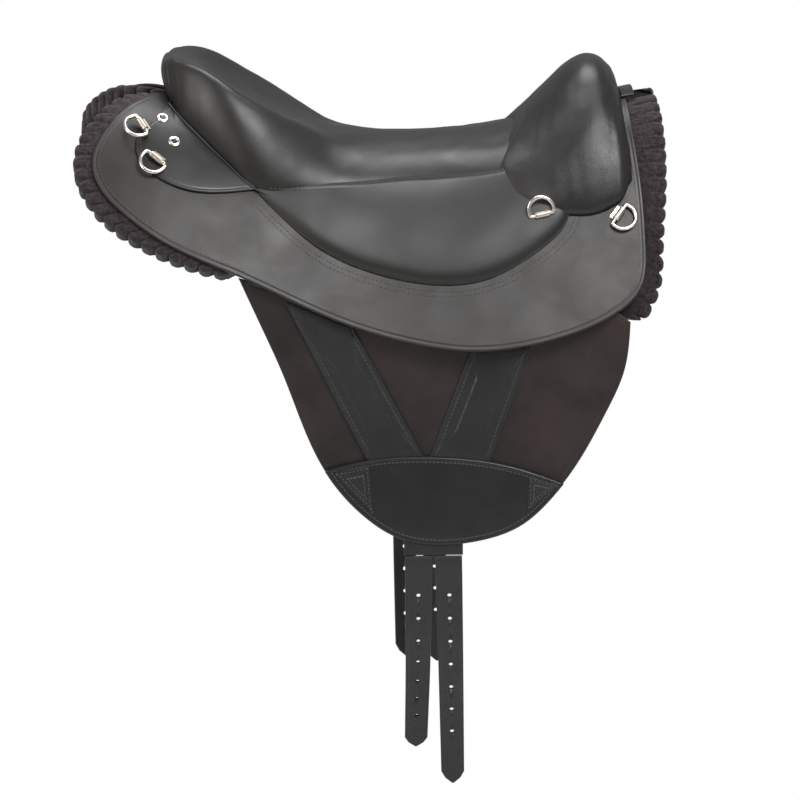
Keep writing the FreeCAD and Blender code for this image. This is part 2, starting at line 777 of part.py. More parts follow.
def add_ring(label, place):
    """Dee ring: a bar, two legs and a bow of one wire."""
    wire = "Sizes.ring_wire / 2"
    reach = "Sizes.ring_inner_width / 2 + Sizes.ring_wire / 2"
    bow = doc.addObject("Part::Torus", label + "_bow")
    bow.Angle3 = 180
    bow.setExpression("Radius1", reach)
    bow.setExpression("Radius2", wire)
    bow.setExpression(".Placement.Base.y", "Sizes.ring_leg")
    bar = doc.addObject("Part::Cylinder", label + "_bar")
    bar.Placement.Rotation = Rotation(Vector(0, 1, 0), 90)
    bar.setExpression("Radius", wire)
    bar.setExpression("Height", "2 * (" + reach + ")")
    bar.setExpression(".Placement.Base.x", "-(" + reach + ")")
    pieces = [bow, bar]
    for side, sign in (("a", ""), ("b", "-")):
        leg = doc.addObject("Part::Cylinder", label + "_leg_" + side)
        leg.Placement.Rotation = Rotation(Vector(1, 0, 0), -90)
        leg.setExpression("Radius", wire)
        leg.setExpression("Height", "Sizes.ring_leg")
        leg.setExpression(".Placement.Base.x", sign + "(" + reach + ")")
        corner = doc.addObject("Part::Sphere", label + "_corner_" + side)
        corner.setExpression("Radius", wire)
        corner.setExpression(".Placement.Base.x", sign + "(" + reach + ")")
        pieces += [leg, corner]
    ring = doc.addObject("Part::MultiFuse", label)
    ring.Shapes = pieces
    ring.Placement = place
    return keep(label, ring)


def make_clip():
    """Folded metal clip: a sleeve round the bar and a flat tab on the leather."""
    outer = "Sizes.ring_wire / 2 + Sizes.clip_play + Sizes.clip_wall"
    sleeve = doc.addObject("Part::Cylinder", "clip_sleeve")
    sleeve.Placement.Rotation = Rotation(Vector(0, 1, 0), 90)
    sleeve.setExpression("Radius", outer)
    sleeve.setExpression("Height", "Sizes.clip_width")
    sleeve.setExpression(".Placement.Base.x", "-Sizes.clip_width / 2")
    tab = doc.addObject("Part::Box", "clip_tab")
    tab.setExpression("Length", "Sizes.clip_width")
    tab.setExpression("Width", "Sizes.clip_tab + " + outer)
    tab.setExpression("Height", "2 * Sizes.clip_wall")
    tab.setExpression(".Placement.Base.x", "-Sizes.clip_width / 2")
    tab.setExpression(".Placement.Base.y", "-Sizes.clip_tab - (" + outer + ")")
    tab.setExpression(".Placement.Base.z", "-(" + outer + ")")
    solid = doc.addObject("Part::Fuse", "clip_solid")
    solid.Base = sleeve
    solid.Tool = tab
    bore = doc.addObject("Part::Cylinder", "clip_bore")
    bore.Placement.Rotation = Rotation(Vector(0, 1, 0), 90)
    bore.setExpression("Radius", "Sizes.ring_wire / 2 + Sizes.clip_play")
    bore.setExpression("Height", "2 * Sizes.clip_width")
    bore.setExpression(".Placement.Base.x", "-Sizes.clip_width")
    clip = doc.addObject("Part::Cut", "clip_master")
    clip.Base = solid
    clip.Tool = bore
    return clip


def clip_room():
    """Room that a clip takes in its neighbours."""
    half = 0.5 * mm("clip_width") + GAP
    reach = CLIP_RADIUS + mm("clip_tab") + GAP
    low = CLIP_RADIUS + GAP
    height = 2.0 * GAP + 2.0 * mm("clip_wall")
    tab = Part.makeBox(2.0 * half, reach, height, Vector(-half, -reach, -low))
    sleeve = Part.makeCylinder(low, 2.0 * half, Vector(-half, 0, 0), Vector(1, 0, 0))
    return tab.fuse(sleeve)


def make_eyelet():
    """Eyelet: a flange on the leather and a barrel through it."""
    flange = doc.addObject("Part::Cylinder", "eyelet_flange")
    flange.setExpression("Radius", "Sizes.eyelet_flange_radius")
    flange.setExpression("Height", "Sizes.eyelet_flange_height")
    barrel = doc.addObject("Part::Cylinder", "eyelet_barrel")
    barrel.setExpression("Radius", "Sizes.eyelet_hole_radius + Sizes.eyelet_barrel_wall")
    barrel.setExpression("Height", "Sizes.patch_thickness")
    barrel.setExpression(".Placement.Base.z", "-Sizes.patch_thickness")
    solid = doc.addObject("Part::Fuse", "eyelet_solid")
    solid.Base = flange
    solid.Tool = barrel
    hole = doc.addObject("Part::Cylinder", "eyelet_hole")
    hole.setExpression("Radius", "Sizes.eyelet_hole_radius")
    hole.setExpression("Height", "4 * Sizes.patch_thickness")
    hole.setExpression(".Placement.Base.z", "-2 * Sizes.patch_thickness")
    eyelet = doc.addObject("Part::Cut", "eyelet_master")
    eyelet.Base = solid
    eyelet.Tool = hole
    return eyelet


def add_stirrup_bar(label, loop_place, lug_place):
    """Stirrup bar: a square loop with a riveted lug that reaches under the tree."""
    outer = doc.addObject("Part::Box", label + "_outer")
    outer.setExpression("Length", "Sizes.stirrup_bar_width")
    outer.setExpression("Width", "Sizes.stirrup_bar_depth")
    outer.setExpression("Height", "Sizes.stirrup_bar_wire")
    outer.setExpression(".Placement.Base.x", "-Sizes.stirrup_bar_width / 2")
    outer.setExpression(".Placement.Base.y", "-Sizes.stirrup_bar_depth / 2")
    outer.setExpression(".Placement.Base.z", "-Sizes.stirrup_bar_wire")
    inner = doc.addObject("Part::Box", label + "_inner")
    inner.setExpression("Length", "Sizes.stirrup_bar_width - 2 * Sizes.stirrup_bar_wire")
    inner.setExpression("Width", "Sizes.stirrup_bar_depth - 2 * Sizes.stirrup_bar_wire")
    inner.setExpression("Height", "3 * Sizes.stirrup_bar_wire")
    inner.setExpression(".Placement.Base.x", "Sizes.stirrup_bar_wire - Sizes.stirrup_bar_width / 2")
    inner.setExpression(".Placement.Base.y", "Sizes.stirrup_bar_wire - Sizes.stirrup_bar_depth / 2")
    inner.setExpression(".Placement.Base.z", "-2 * Sizes.stirrup_bar_wire")
    loop_frame = doc.addObject("Part::Cut", label + "_loop")
    loop_frame.Base = outer
    loop_frame.Tool = inner
    loop_frame.Placement = loop_place
    lug = doc.addObject("Part::Box", label + "_plate")
    lug.setExpression("Length", "Sizes.stirrup_lug_width")
    lug.setExpression("Width", "Sizes.stirrup_lug_length + Sizes.stirrup_lug_lap")
    lug.setExpression("Height", "Sizes.stirrup_lug_thickness")
    lug.setExpression(".Placement.Base.x", "-Sizes.stirrup_lug_width / 2")
    lug.setExpression(".Placement.Base.y", "-Sizes.stirrup_lug_length / 2 - Sizes.stirrup_lug_lap")
    lug.setExpression(".Placement.Base.z", "-Sizes.stirrup_lug_thickness")
    holes = []
    for end, sign in (("a", ""), ("b", "-")):
        hole = doc.addObject("Part::Cylinder", label + "_hole_" + end)
        hole.setExpression("Radius", "Sizes.rivet_radius + Sizes.rivet_clearance")
        hole.setExpression("Height", "4 * Sizes.stirrup_lug_thickness")
        hole.setExpression(".Placement.Base.x", sign + "Sizes.stirrup_rivet_shift")
        hole.setExpression(".Placement.Base.z", "-2 * Sizes.stirrup_lug_thickness")
        holes.append(hole)
    drill = doc.addObject("Part::MultiFuse", label + "_drill")
    drill.Shapes = holes
    plate = doc.addObject("Part::Cut", label + "_lug")
    plate.Base = lug
    plate.Tool = drill
    plate.Placement = lug_place
    bar = doc.addObject("Part::Fuse", label)
    bar.Base = loop_frame
    bar.Tool = plate
    return keep(label, bar)


def rivet(place, low, high, head_depth, grow=0.0):
    """Rivet along Z of a placement, its head between two heights."""
    shank = Part.makeCylinder(mm("rivet_radius") + grow, high - low, Vector(0, 0, low))
    head = Part.makeCylinder(mm("rivet_head_radius") + grow, head_depth + grow, Vector(0, 0, high - grow))
    return placed(shank.fuse(head), place)


def both(shapes):
    """Shapes with their mirror images."""
    return shapes + [mirrored(shape) for shape in shapes]


def cut_all(shape, tools):
    """Shape less every tool."""
    for tool in tools:
        shape = shape.cut(tool)
    return shape


def largest(shape):
    """Largest solid of a shape, without the slivers that a cut can leave."""
    return max(shape.Solids, key=lambda solid: solid.Volume)


def group(label, shapes):
    """One node that holds several like pieces."""
    return add_shape(label, Part.Compound(shapes))


# The tree, its plates and their rivets.

TREE_SHARE = mm("tree_share")
PLAY = mm("rivet_clearance")
plate_rear = mm("gullet_plate_x") - 0.5 * mm("gullet_plate_width")
plate_front = mm("gullet_plate_x") + 0.5 * mm("gullet_plate_width")
foot_rear = mm("cantle_plate_x") + 0.5 * mm("cantle_plate_thickness")
foot_front = foot_rear + mm("cantle_foot_length")
wool_room = both([layer(-mm("wool_thickness") - 5.0, GAP)])
tree = arch_layer(mm("tree_rear"), mm("tree_front"), GAP - 1.0, TREE_TOP, TREE_SHARE, 8)
tree = cut_all(tree, wool_room)
gullet_plate = arch_layer(plate_rear, plate_front, SEAT_BOTTOM - 1.0, PLATE_TOP, TREE_SHARE, 3)


def cantle_upright():
    """Upright plate inside the cantle, an arch on the tree."""
    x = mm("cantle_plate_x") - 0.5 * mm("cantle_plate_thickness")
    top, radius, crown, side = back_values(mm("cantle_plate_x"))
    bottom = radius + SEAT_BOTTOM
    half = bottom * math.sin(TREE_SHARE * crown)
    foot = top - radius + math.sqrt(bottom * bottom - half * half) - 1.0
    seat = Vector(x, 0, top + SEAT_BOTTOM - 1.0)
    crest = Vector(x, 0, top + SEAT_BOTTOM + mm("cantle_plate_rise"))
    left, right = Vector(x, half, foot), Vector(x, -half, foot)
    wire = Part.Wire([Part.Arc(right, crest, left).toShape(), Part.Arc(left, seat, right).toShape()])
    return Part.Face(wire).extrude(Vector(mm("cantle_plate_thickness"), 0, 0))


FOOT_TOP = SEAT_BOTTOM + mm("gullet_plate_thickness")
cantle_foot = arch_layer(foot_rear - 1.0, foot_front, SEAT_BOTTOM - 1.0, FOOT_TOP, 0.5 * TREE_SHARE, 2)
tree_skin = arch_layer(mm("tree_rear"), mm("tree_front"), -4.0, SEAT_BOTTOM, TREE_SHARE + 0.05, 8)
cantle_plate = cantle_upright().fuse(cantle_foot).cut(tree_skin)
gullet_plate = gullet_plate.cut(tree_skin)

HEAD = mm("rivet_head_depth")
THROUGH = 5.0
stirrup_x = mm("stirrup_bar_x")
tree_edge = TREE_SHARE * back_values(stirrup_x)[1] * back_values(stirrup_x)[2]
lug_middle = tree_edge - 0.5 * mm("stirrup_lug_length")
lug_place = back_frame(stirrup_x, lug_middle, -mm("stirrup_lug_sink"))
loop_middle = tree_edge + 0.5 * mm("stirrup_bar_depth") + 1.0
loop_place = back_frame(stirrup_x, loop_middle, -mm("stirrup_bar_sink"))
lug_base = -mm("stirrup_lug_thickness")
seat_skin = TREE_TOP + GAP - HEAD - 0.3

gullet_places = [back_frame(mm("gullet_plate_x"), run, 0.0) for run in (18.0, 48.0)]
cantle_places = [back_frame(0.5 * (foot_rear + foot_front) + 2.0, 14.0, 0.0)]
stirrup_places = []
for shift in (-mm("stirrup_rivet_shift"), mm("stirrup_rivet_shift")):
    stirrup_places.append(lug_place.multiply(Placement(Vector(shift, 0, 0), Rotation())))
gullet_rivets = both([rivet(place, GAP, PLATE_TOP, HEAD) for place in gullet_places])
cantle_rivets = both([rivet(place, GAP, FOOT_TOP, HEAD) for place in cantle_places])
stirrup_rivets = both([rivet(place, lug_base, seat_skin, HEAD) for place in stirrup_places])
gullet_holes = both([rivet(place, -THROUGH, PLATE_TOP, HEAD, PLAY) for place in gullet_places])
cantle_holes = both([rivet(place, -THROUGH, FOOT_TOP, HEAD, PLAY) for place in cantle_places])
stirrup_holes = both([rivet(place, -THROUGH, seat_skin, 2.0 * HEAD, PLAY) for place in stirrup_places])
add_shape("tree_shell", cut_all(tree, gullet_holes + cantle_holes + stirrup_holes))
add_shape("gullet_plate", cut_all(gullet_plate, gullet_holes))
add_shape("cantle_plate", cut_all(cantle_plate, cantle_holes))
group("gullet_rivets", gullet_rivets)
group("cantle_rivets", cantle_rivets)
group("stirrup_rivets", stirrup_rivets)

# Stirrup bars in their pockets under the skirts.

POCKET_RISE = 20.0
STRAP_WAY_TOP = 60.0
STRAP_WAY_END = 230.0
stirrup_room = mm("stirrup_pocket_play")
pocket_depth = mm("stirrup_bar_wire") + mm("stirrup_strap_room")
pocket_width = mm("stirrup_bar_width") + 2.0 * stirrup_room
pocket_length = mm("stirrup_bar_depth") + mm("stirrup_lug_length") + 2.0 * stirrup_room
pocket_start = -0.5 * mm("stirrup_bar_depth") - stirrup_room
pocket_corner = Vector(-0.5 * pocket_width, pocket_start, -pocket_depth)
pocket = Part.makeBox(pocket_width, pocket_length, pocket_depth + POCKET_RISE, pocket_corner)
pocket = placed(pocket, loop_place)
way_rear = stirrup_x - 0.5 * mm("stirrup_way_width")
way_front = stirrup_x + 0.5 * mm("stirrup_way_width")
way_outline = [
    (way_rear, STRAP_WAY_TOP),
    (way_front, STRAP_WAY_TOP),
    (way_front, STRAP_WAY_END),
    (way_rear, STRAP_WAY_END),
]
way_prism = prism(line_chain([on_pattern(p) for p in way_outline + way_outline[:1]]), SQUARE, FAR)
strap_way = layer(-mm("stirrup_strap_room"), SKIRT_TOP, FLARE).common(way_prism)
add_stirrup_bar("stirrup_bar_right", loop_place, lug_place)
add_stirrup_bar("stirrup_bar_left", other_side(loop_place), other_side(lug_place))

# Wool panels.

OVER_SPINE = -200.0
wool_rear, rear_first, rear_last = scalloped(WOOL_REAR_EDGE)
wool_front, front_first, front_last = scalloped(WOOL_FRONT_EDGE)
wool_hidden = line_chain([rear_last] + [on_pattern(p) for p in WOOL_HIDDEN_EDGE] + [front_first])
wool_close = line_chain([
    front_last,
    on_pattern((front_last.x, OVER_SPINE)),
    on_pattern((rear_first.x, OVER_SPINE)),
    rear_first,
])
wool_outline = prism(wool_rear + wool_hidden + wool_front + wool_close, SQUARE, FAR)
wool = layer(-mm("wool_thickness"), 0.0).common(wool_outline)
wool = cut_all(wool, [channel(), pocket, strap_way])
add_pair("wool_panel", wool)

# Skirts, with the tree let in between them.

SKIRT_SINK = GAP - 1.0
tree_room = arch_layer(mm("tree_rear") - GAP, mm("tree_front") + GAP, -1.0, TREE_TOP + 1.0, TREE_SHARE, 8)
skirt_close = line_chain([
    on_pattern(SKIRT_REAR_TOP),
    on_pattern((SKIRT_REAR_TOP[0], OVER_SPINE)),
    on_pattern((SKIRT_FRONT_TOP[0], OVER_SPINE)),
    on_pattern(SKIRT_FRONT_TOP),
])
skirt_outline = prism([spline([on_pattern(p) for p in SKIRT_EDGE])] + skirt_close, SQUARE, FAR)
split = Part.makeBox(2.0 * FAR, mm("skirt_split"), 2.0 * FAR, Vector(-FAR, -0.5 * mm("skirt_split"), -FAR))
skirt = layer(SKIRT_SINK, SKIRT_TOP, FLARE).common(skirt_outline)
skirt = cut_all(skirt, [split, tree_room, wool_room[0]])
add_pair("skirt", skirt)

# Seat: a foam core on the tree inside a leather cover.

seat_outer = seat_body(0.0, SEAT_BOTTOM)
SEAT_ROOT = TREE_TOP - 3.0
seat_inner = seat_body(mm("cover_thickness"), SEAT_ROOT)
seat_room = seat_body(-2.0 * GAP, SEAT_ROOT)
add_shape("seat_foam", cut_all(seat_outer.common(seat_inner), [cantle_plate] + cantle_holes))
add_shape("seat_cover", seat_outer.cut(seat_inner))

# Everything that lies below the skirts' outer face, on both sides.

DEEP = 80.0
below_skirt = layer(-DEEP, SKIRT_TOP + GAP, FLARE)
below = [below_skirt, mirrored(below_skirt)]

# Padded side panels.

clip_shape = clip_room()
front_upper = ring_frame(RINGS[2])
front_upper_clip = front_upper.multiply(Placement(Vector(0, 0, 0), Rotation(Vector(0, 0, 1), 180)))
front_clip_room = placed(clip_shape, front_upper_clip)
side_panel = cut_all(side_panel_body(0.0), [below_skirt, seat_room, tree_room, front_clip_room])
add_pair("side_panel", side_panel)
side_panel_room = side_panel_body(GAP)

# Pommel swell. The rivet heads stand square to the sloping plate, which takes some room.

POMMEL_DEPTH = 60.0
PLATE_ROOM = 1.0
front_lower_clip_room = placed(clip_shape, ring_frame(RINGS[3]))
tree_end = mm("tree_front") + GAP
tree_under = arch_layer(mm("tree_rear"), tree_end, -POMMEL_DEPTH, TREE_TOP + 2.0 * GAP, TREE_SHARE, 8)
plate_room_rear = plate_rear - PLATE_ROOM
plate_room_front = plate_front + PLATE_ROOM
plate_room_top = PLATE_TOP + HEAD + PLATE_ROOM + GAP
plate_room_share = TREE_SHARE + 0.03
plate_room = arch_layer(
    plate_room_rear, plate_room_front, -POMMEL_DEPTH, plate_room_top, plate_room_share, 3
)
pommel_tools = below + [tree_under, plate_room, seat_room]
pommel_tools += both([side_panel_room, front_clip_room, front_lower_clip_room])
pommel_inner = pommel_body(mm("cover_thickness"))
add_shape("pommel_foam", largest(cut_all(pommel_inner, pommel_tools)))
add_shape("pommel_cover", largest(cut_all(pommel_body(0.0), pommel_tools + [pommel_inner])))

# Cantle patches with their eyelets, and the binding over the front of the spine.

patch_close = line_chain([
    on_pattern(CANTLE_PATCH_EDGE[-1]),
    on_pattern((CANTLE_PATCH_EDGE[-1][0], -60.0)),
    on_pattern(CANTLE_PATCH_EDGE[0]),
])
patch_outline = prism([spline([on_pattern(p) for p in CANTLE_PATCH_EDGE])] + patch_close, SQUARE, FAR)
eyelet_spots = [(-208.0, -13.0), (-196.0, 16.5)]
eyelet_places = []
for x, distance in eyelet_spots:
    run = run_at_pattern(x, distance, PATCH_TOP, FLARE)
    eyelet_places.append(back_frame(x, run, PATCH_TOP, 0.0, FLARE))
barrel = mm("eyelet_hole_radius") + mm("eyelet_barrel_wall") + PLAY
patch_holes = [placed(Part.makeCylinder(barrel, 20.0, Vector(0, 0, -10)), place) for place in eyelet_places]
patch = layer(SKIRT_TOP + GAP, PATCH_TOP, FLARE).common(patch_outline)
patch = cut_all(patch, [split, seat_room, tree_room] + patch_holes)
add_pair("cantle_patch", patch)
BINDING_REAR = 264.0
BINDING_FRONT = 290.0
binding = arch_layer(BINDING_REAR, BINDING_FRONT, SKIRT_TOP + GAP, PATCH_TOP, 0.36, 2)
add_shape("front_binding", cut_all(binding, [pommel_body(-GAP)]))
eyelet_master = make_eyelet()
clip_master = make_clip()
doc.recompute()
eyelets = [placed(eyelet_master.Shape, place) for place in eyelet_places]
group("cantle_eyelets", both(eyelets))

# Rings and their clips.

clips = {"rear": [], "front": []}
for ring in RINGS:
    name, x, distance, height, turn, lift = ring
    place = ring_frame(ring)
    lifted = place.multiply(Placement(Vector(0, 0, 0), Rotation(Vector(1, 0, 0), lift)))
    add_ring(name + "_ring_right", lifted)
    add_ring(name + "_ring_left", other_side(lifted))
    clip_place = front_upper_clip if name == "front_upper" else place
    end = name.split("_")[0]
    clips[end].append(placed(clip_master.Shape, clip_place))
    clips[end].append(placed(clip_master.Shape, other_side(clip_place)))
group("rear_ring_clips", clips["rear"])
group("front_ring_clips", clips["front"])

# Hanging flaps with their straps, patch and yoke.

strap_low = mm("flap_thickness") + GAP
strap_high = strap_low + mm("strap_thickness")
patch_high = strap_high + GAP + mm("girth_patch_cover")
flap_edges = [spline([flat(p) for p in FLAP_EDGE]), spline([flat(p) for p in FLAP_TOP])]
flap = flap_plate(flap_edges, 0.0, mm("flap_thickness"))
rear_strap = flap_plate(loop(REAR_STRAP), strap_low, strap_high)
front_strap = flap_plate(loop(FRONT_STRAP), strap_low, strap_high)
billet_pitch = mm("billet_top_width") + mm("billet_gap")
yoke_rear = REAR_BILLET_X - 0.5 * mm("billet_top_width") - 1.0
yoke_front = REAR_BILLET_X + billet_pitch + 0.5 * mm("billet_top_width") + 1.0
yoke_end = BILLET_HINGE + 0.5 * mm("billet_thickness") + mm("billet_hinge_gap")
yoke_box = [(yoke_rear, YOKE_TOP), (yoke_front, YOKE_TOP), (yoke_front, yoke_end), (yoke_rear, yoke_end)]
yoke = flap_plate(loop(yoke_box), strap_low, strap_high)
SLIT_RISE = 7.0
SLIT_REACH = 20.0
slit_x = REAR_BILLET_X + 0.5 * billet_pitch
slit_start = Vector(slit_x, SLIT_REACH, yoke_end + SLIT_RISE)
slit_hole = Part.makeCylinder(mm("billet_hole_radius"), 2.0 * SLIT_REACH, slit_start, Vector(0, -1, 0))
patch_low = -FAR
patch_side = [flat((GIRTH_PATCH_TOP[-1][0], patch_low)), flat((GIRTH_PATCH_TOP[0][0], patch_low))]
patch_edges = [spline([flat(p) for p in GIRTH_PATCH_TOP])]
patch_edges += line_chain([flat(GIRTH_PATCH_TOP[-1])] + patch_side + [flat(GIRTH_PATCH_TOP[0])])
girth_patch = flap_plate(patch_edges, strap_low, patch_high)
girth_patch = girth_patch.common(flap_plate(flap_edges, strap_low, patch_high))
grown = [flap_plate(loop(strap), 0.0, strap_high + GAP) for strap in (REAR_STRAP, FRONT_STRAP)]
yoke_room = [
    (yoke_rear - GAP, YOKE_TOP + GAP),
    (yoke_front + GAP, YOKE_TOP + GAP),
    (yoke_front + GAP, patch_low),
    (yoke_rear - GAP, patch_low),
]
grown.append(flap_plate(loop(yoke_room), 0.0, strap_high + GAP))
girth_patch = cut_all(girth_patch, grown)
for label, shape in (
    ("sweat_flap", flap),
    ("rear_rigging_strap", rear_strap),
    ("front_rigging_strap", front_strap),
    ("billet_yoke", yoke.cut(slit_hole)),
    ("girth_patch", girth_patch),
):
    add_pair(label, shape, FLAP_FRAME)

# Webs that carry the flaps from under the skirts.

WEB_REAR = -39.0
WEB_FRONT = 250.0
WEB_HEIGHT = 60.0
web_top = [(p[0], p[1] + mm("flap_web_gap")) for p in FLAP_TOP]
web_edges = [spline([flat(p) for p in web_top])]
web_corners = [web_top[-1], (web_top[-1][0], WEB_HEIGHT), (web_top[0][0], WEB_HEIGHT), web_top[0]]
web_edges += line_chain([flat(p) for p in web_corners])
web_span = Part.makeBox(WEB_FRONT - WEB_REAR, 2.0 * FAR, 2.0 * FAR, Vector(WEB_REAR, -FAR, -FAR))
web = placed(flap_plate(web_edges, 0.0, mm("flap_thickness")), FLAP_FRAME).common(web_span)
inside_skirt = layer(-DEEP, SKIRT_SINK - GAP, FLARE)
web_slot = Part.makeBox(mm("stirrup_way_width"), FAR, FAR, Vector(way_rear, -FAR, -FAR))
web = cut_all(web.common(inside_skirt), [wool, web_slot])
add_pair("flap_web", web)

# Billets.

hinge_offset = 0.5 * (strap_low + strap_high)
for name, x, bend, lean in (
    ("rear_billet", REAR_BILLET_X, mm("rear_billet_bend"), 0.0),
    ("front_billet", REAR_BILLET_X + billet_pitch, mm("front_billet_bend"), FRONT_BILLET_LEAN),
):
    hinge = FLAP_FRAME.multVec(Vector(x, -hinge_offset, BILLET_HINGE))
    add_pair(name, billet(bend, lean), Placement(hinge, Rotation()))


def check_and_write():
    """Check every object and sub-part, then write one file for each sub-part."""
    doc.recompute()
    for item in doc.Objects:
        if "Invalid" in item.State or "Error" in item.State:
            raise RuntimeError("object failed: " + item.Label)
    for label, item in parts.items():
        shape = item.Shape
        if shape.isNull() or not shape.isValid() or not shape.Solids:
            raise RuntimeError("sub-part has no sound shape: " + label)
    os.makedirs("parts", exist_ok=True)
    for label, item in parts.items():
        item.Shape.exportStep(os.path.join("parts", label + ".step"))


check_and_write()
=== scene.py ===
import math

import bmesh
import bpy
import numpy as np
from mathutils import Matrix, Vector


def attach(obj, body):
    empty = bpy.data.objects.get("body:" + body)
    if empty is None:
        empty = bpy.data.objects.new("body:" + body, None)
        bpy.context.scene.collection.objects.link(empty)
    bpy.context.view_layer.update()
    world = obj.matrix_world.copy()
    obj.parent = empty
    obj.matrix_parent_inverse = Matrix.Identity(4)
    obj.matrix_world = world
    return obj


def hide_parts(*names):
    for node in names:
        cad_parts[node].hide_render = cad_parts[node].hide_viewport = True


# Endurance saddle. Shapes are worked out in millimetres and put into metres last.
# The right-hand side lies at negative y and is mirrored for the left.

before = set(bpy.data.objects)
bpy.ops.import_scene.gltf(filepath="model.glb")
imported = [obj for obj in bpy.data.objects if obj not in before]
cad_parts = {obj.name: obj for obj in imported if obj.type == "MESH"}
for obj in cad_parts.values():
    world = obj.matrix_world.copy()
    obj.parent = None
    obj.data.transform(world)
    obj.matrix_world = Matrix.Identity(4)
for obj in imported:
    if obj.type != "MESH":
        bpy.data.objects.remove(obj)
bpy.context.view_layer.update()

# Heights over the back surface, which is the top of the wool panels.

SKIRT_LOW, SKIRT_TOP = 0.3, 4.3
PATCH_LOW, PATCH_TOP = 4.6, 7.6
SEAT_LOW = 7.6
WOOL_DEEP = 25.0

# The back: radius of the flatter arc, steepest slope of the flared skirts in degrees, slope
# of the plane that the patterns are drawn on, and the height at which they meet the surface.

SIDE_RADIUS = 300.0
FLARE = 60.0
PATTERN_SLOPE = math.radians(48.0)
PATTERN_LEVEL = 2.0

NO_CAPS = np.zeros((0, 3), int)


# The back surface, from which every layer of the saddle is offset.


def climb(share):
    """Smooth step: share squared times three less twice the share, held in 0 to 1."""
    share = np.clip(share, 0.0, 1.0)
    return share * share * (3.0 - 2.0 * share)


def back_values(x):
    """Spine height, crown radius, crown angle and side angle, eased along the station."""
    rear = climb((40.0 - x) / 300.0)
    front = climb((x - 50.0) / 270.0)
    top = 28.0 + 71.0 * rear + 65.0 * front
    radius = 150.0 - 35.0 * rear - 60.0 * front
    crown = np.radians(48.0 - 8.0 * rear + 2.0 * front)
    side = np.radians(74.0 - 20.0 * rear)
    return top, radius, crown, side


def back(x, run, offset, steepest=FLARE):
    """Arc over the spine, then a flatter arc, then straight, pushed out along the normal.

    A negative run is the left-hand side.
    """
    x, run, offset = np.broadcast_arrays(np.asarray(x, float), np.asarray(run, float), np.asarray(offset, float))
    top, radius, crown, side = back_values(x)
    side = np.minimum(side, math.radians(steepest))
    away = np.abs(run)
    crown_run = radius * crown
    side_run = crown_run + SIDE_RADIUS * (side - crown)
    flatter = np.minimum(crown + (away - crown_run) / SIDE_RADIUS, side)
    slope = np.where(away < crown_run, away / radius, flatter)
    inner = np.minimum(slope, crown)
    out = radius * np.sin(inner) + SIDE_RADIUS * (np.sin(slope) - np.sin(inner))
    down = radius * (1.0 - np.cos(inner)) + SIDE_RADIUS * (np.cos(inner) - np.cos(slope))
    rest = np.maximum(away - side_run, 0.0)
    out = out + rest * np.cos(slope) + offset * np.sin(slope)
    down = down + rest * np.sin(slope) - offset * np.cos(slope)
    return np.stack([x, -np.sign(run + 1e-12) * out, top - down], -1)


def fall_of(points):
    """Distance down the pattern plane: a point's share of y and z along that plane."""
    return -points[..., 1] * math.cos(PATTERN_SLOPE) - points[..., 2] * math.sin(PATTERN_SLOPE)


def run_at(x, fall, level, steepest):
    """Run of a pattern place on the surface at a level, found by halving."""
    x, fall = np.broadcast_arrays(np.asarray(x, float), np.asarray(fall, float))
    low = np.full(x.shape, -40.0)
    high = np.full(x.shape, 420.0)
    for _ in range(26):
        middle = 0.5 * (low + high)
        short = fall_of(back(x, middle, level, steepest)) < fall
        low = np.where(short, middle, low)
        high = np.where(short, high, middle)
    return low


def on_side(x, fall, offset, steepest=FLARE):
    """Point of a pattern place: the back surface at its run, pushed out by the offset."""
    return back(x, run_at(x, fall, PATTERN_LEVEL, steepest), offset, steepest)


# Curves and outlines.


def unit(rows):
    """Each row over its own length."""
    return rows / (np.linalg.norm(rows, axis=-1, keepdims=True) + 1e-9)


def lengths(track):
    """Distance along a track: the running sum of its steps."""
    return np.r_[0.0, np.cumsum(np.linalg.norm(np.diff(track, axis=0), axis=1))]


def at_lengths(wanted, length, rows):
    """Rows read off between their neighbours at the wanted lengths."""
    return np.stack([np.interp(wanted, length, rows[:, k]) for k in range(rows.shape[1])], -1)


def through(points, step):
    """Cubic with steady bending through the points, spaced evenly along its length.

    The bending at each point solves the row that makes the slopes of its two spans agree.
    """
    points = np.asarray(points, float)
    chord = lengths(points)
    gap = np.diff(chord)
    count = len(points)
    matrix = np.zeros((count, count))
    right = np.zeros(points.shape)
    matrix[0, 0] = matrix[-1, -1] = 1.0
    for k in range(1, count - 1):
        matrix[k, k - 1 : k + 2] = gap[k - 1], 2.0 * (gap[k - 1] + gap[k]), gap[k]
        right[k] = 6.0 * ((points[k + 1] - points[k]) / gap[k] - (points[k] - points[k - 1]) / gap[k - 1])
    bend = np.linalg.solve(matrix, right)
    fine = np.linspace(chord[0], chord[-1], 4000)
    k = np.clip(np.searchsorted(chord, fine) - 1, 0, count - 2)
    a = ((chord[k + 1] - fine) / gap[k])[:, None]
    b = 1.0 - a
    push = (a**3 - a) * bend[k] + (b**3 - b) * bend[k + 1]
    track = a * points[k] + b * points[k + 1] + push * (gap[k] ** 2)[:, None] / 6.0
    length = lengths(track)
    pieces = max(int(length[-1] / step), 3)
    return at_lengths(np.linspace(0.0, length[-1], pieces + 1), length, track)


def polygon(points, step):
    """Straight-sided outline, spaced along each side."""
    points = np.asarray(points, float)
    sides = []
    for a, b in zip(points, np.roll(points, -1, axis=0)):
        pieces = max(int(np.linalg.norm(b - a) / step), 1)
        sides.append(a + (b - a) * (np.arange(pieces) / pieces)[:, None])
    return np.vstack(sides)


def joined(*runs):
    """One closed outline out of open runs, without doubled joints."""
    return np.vstack([run[:-1] for run in runs])


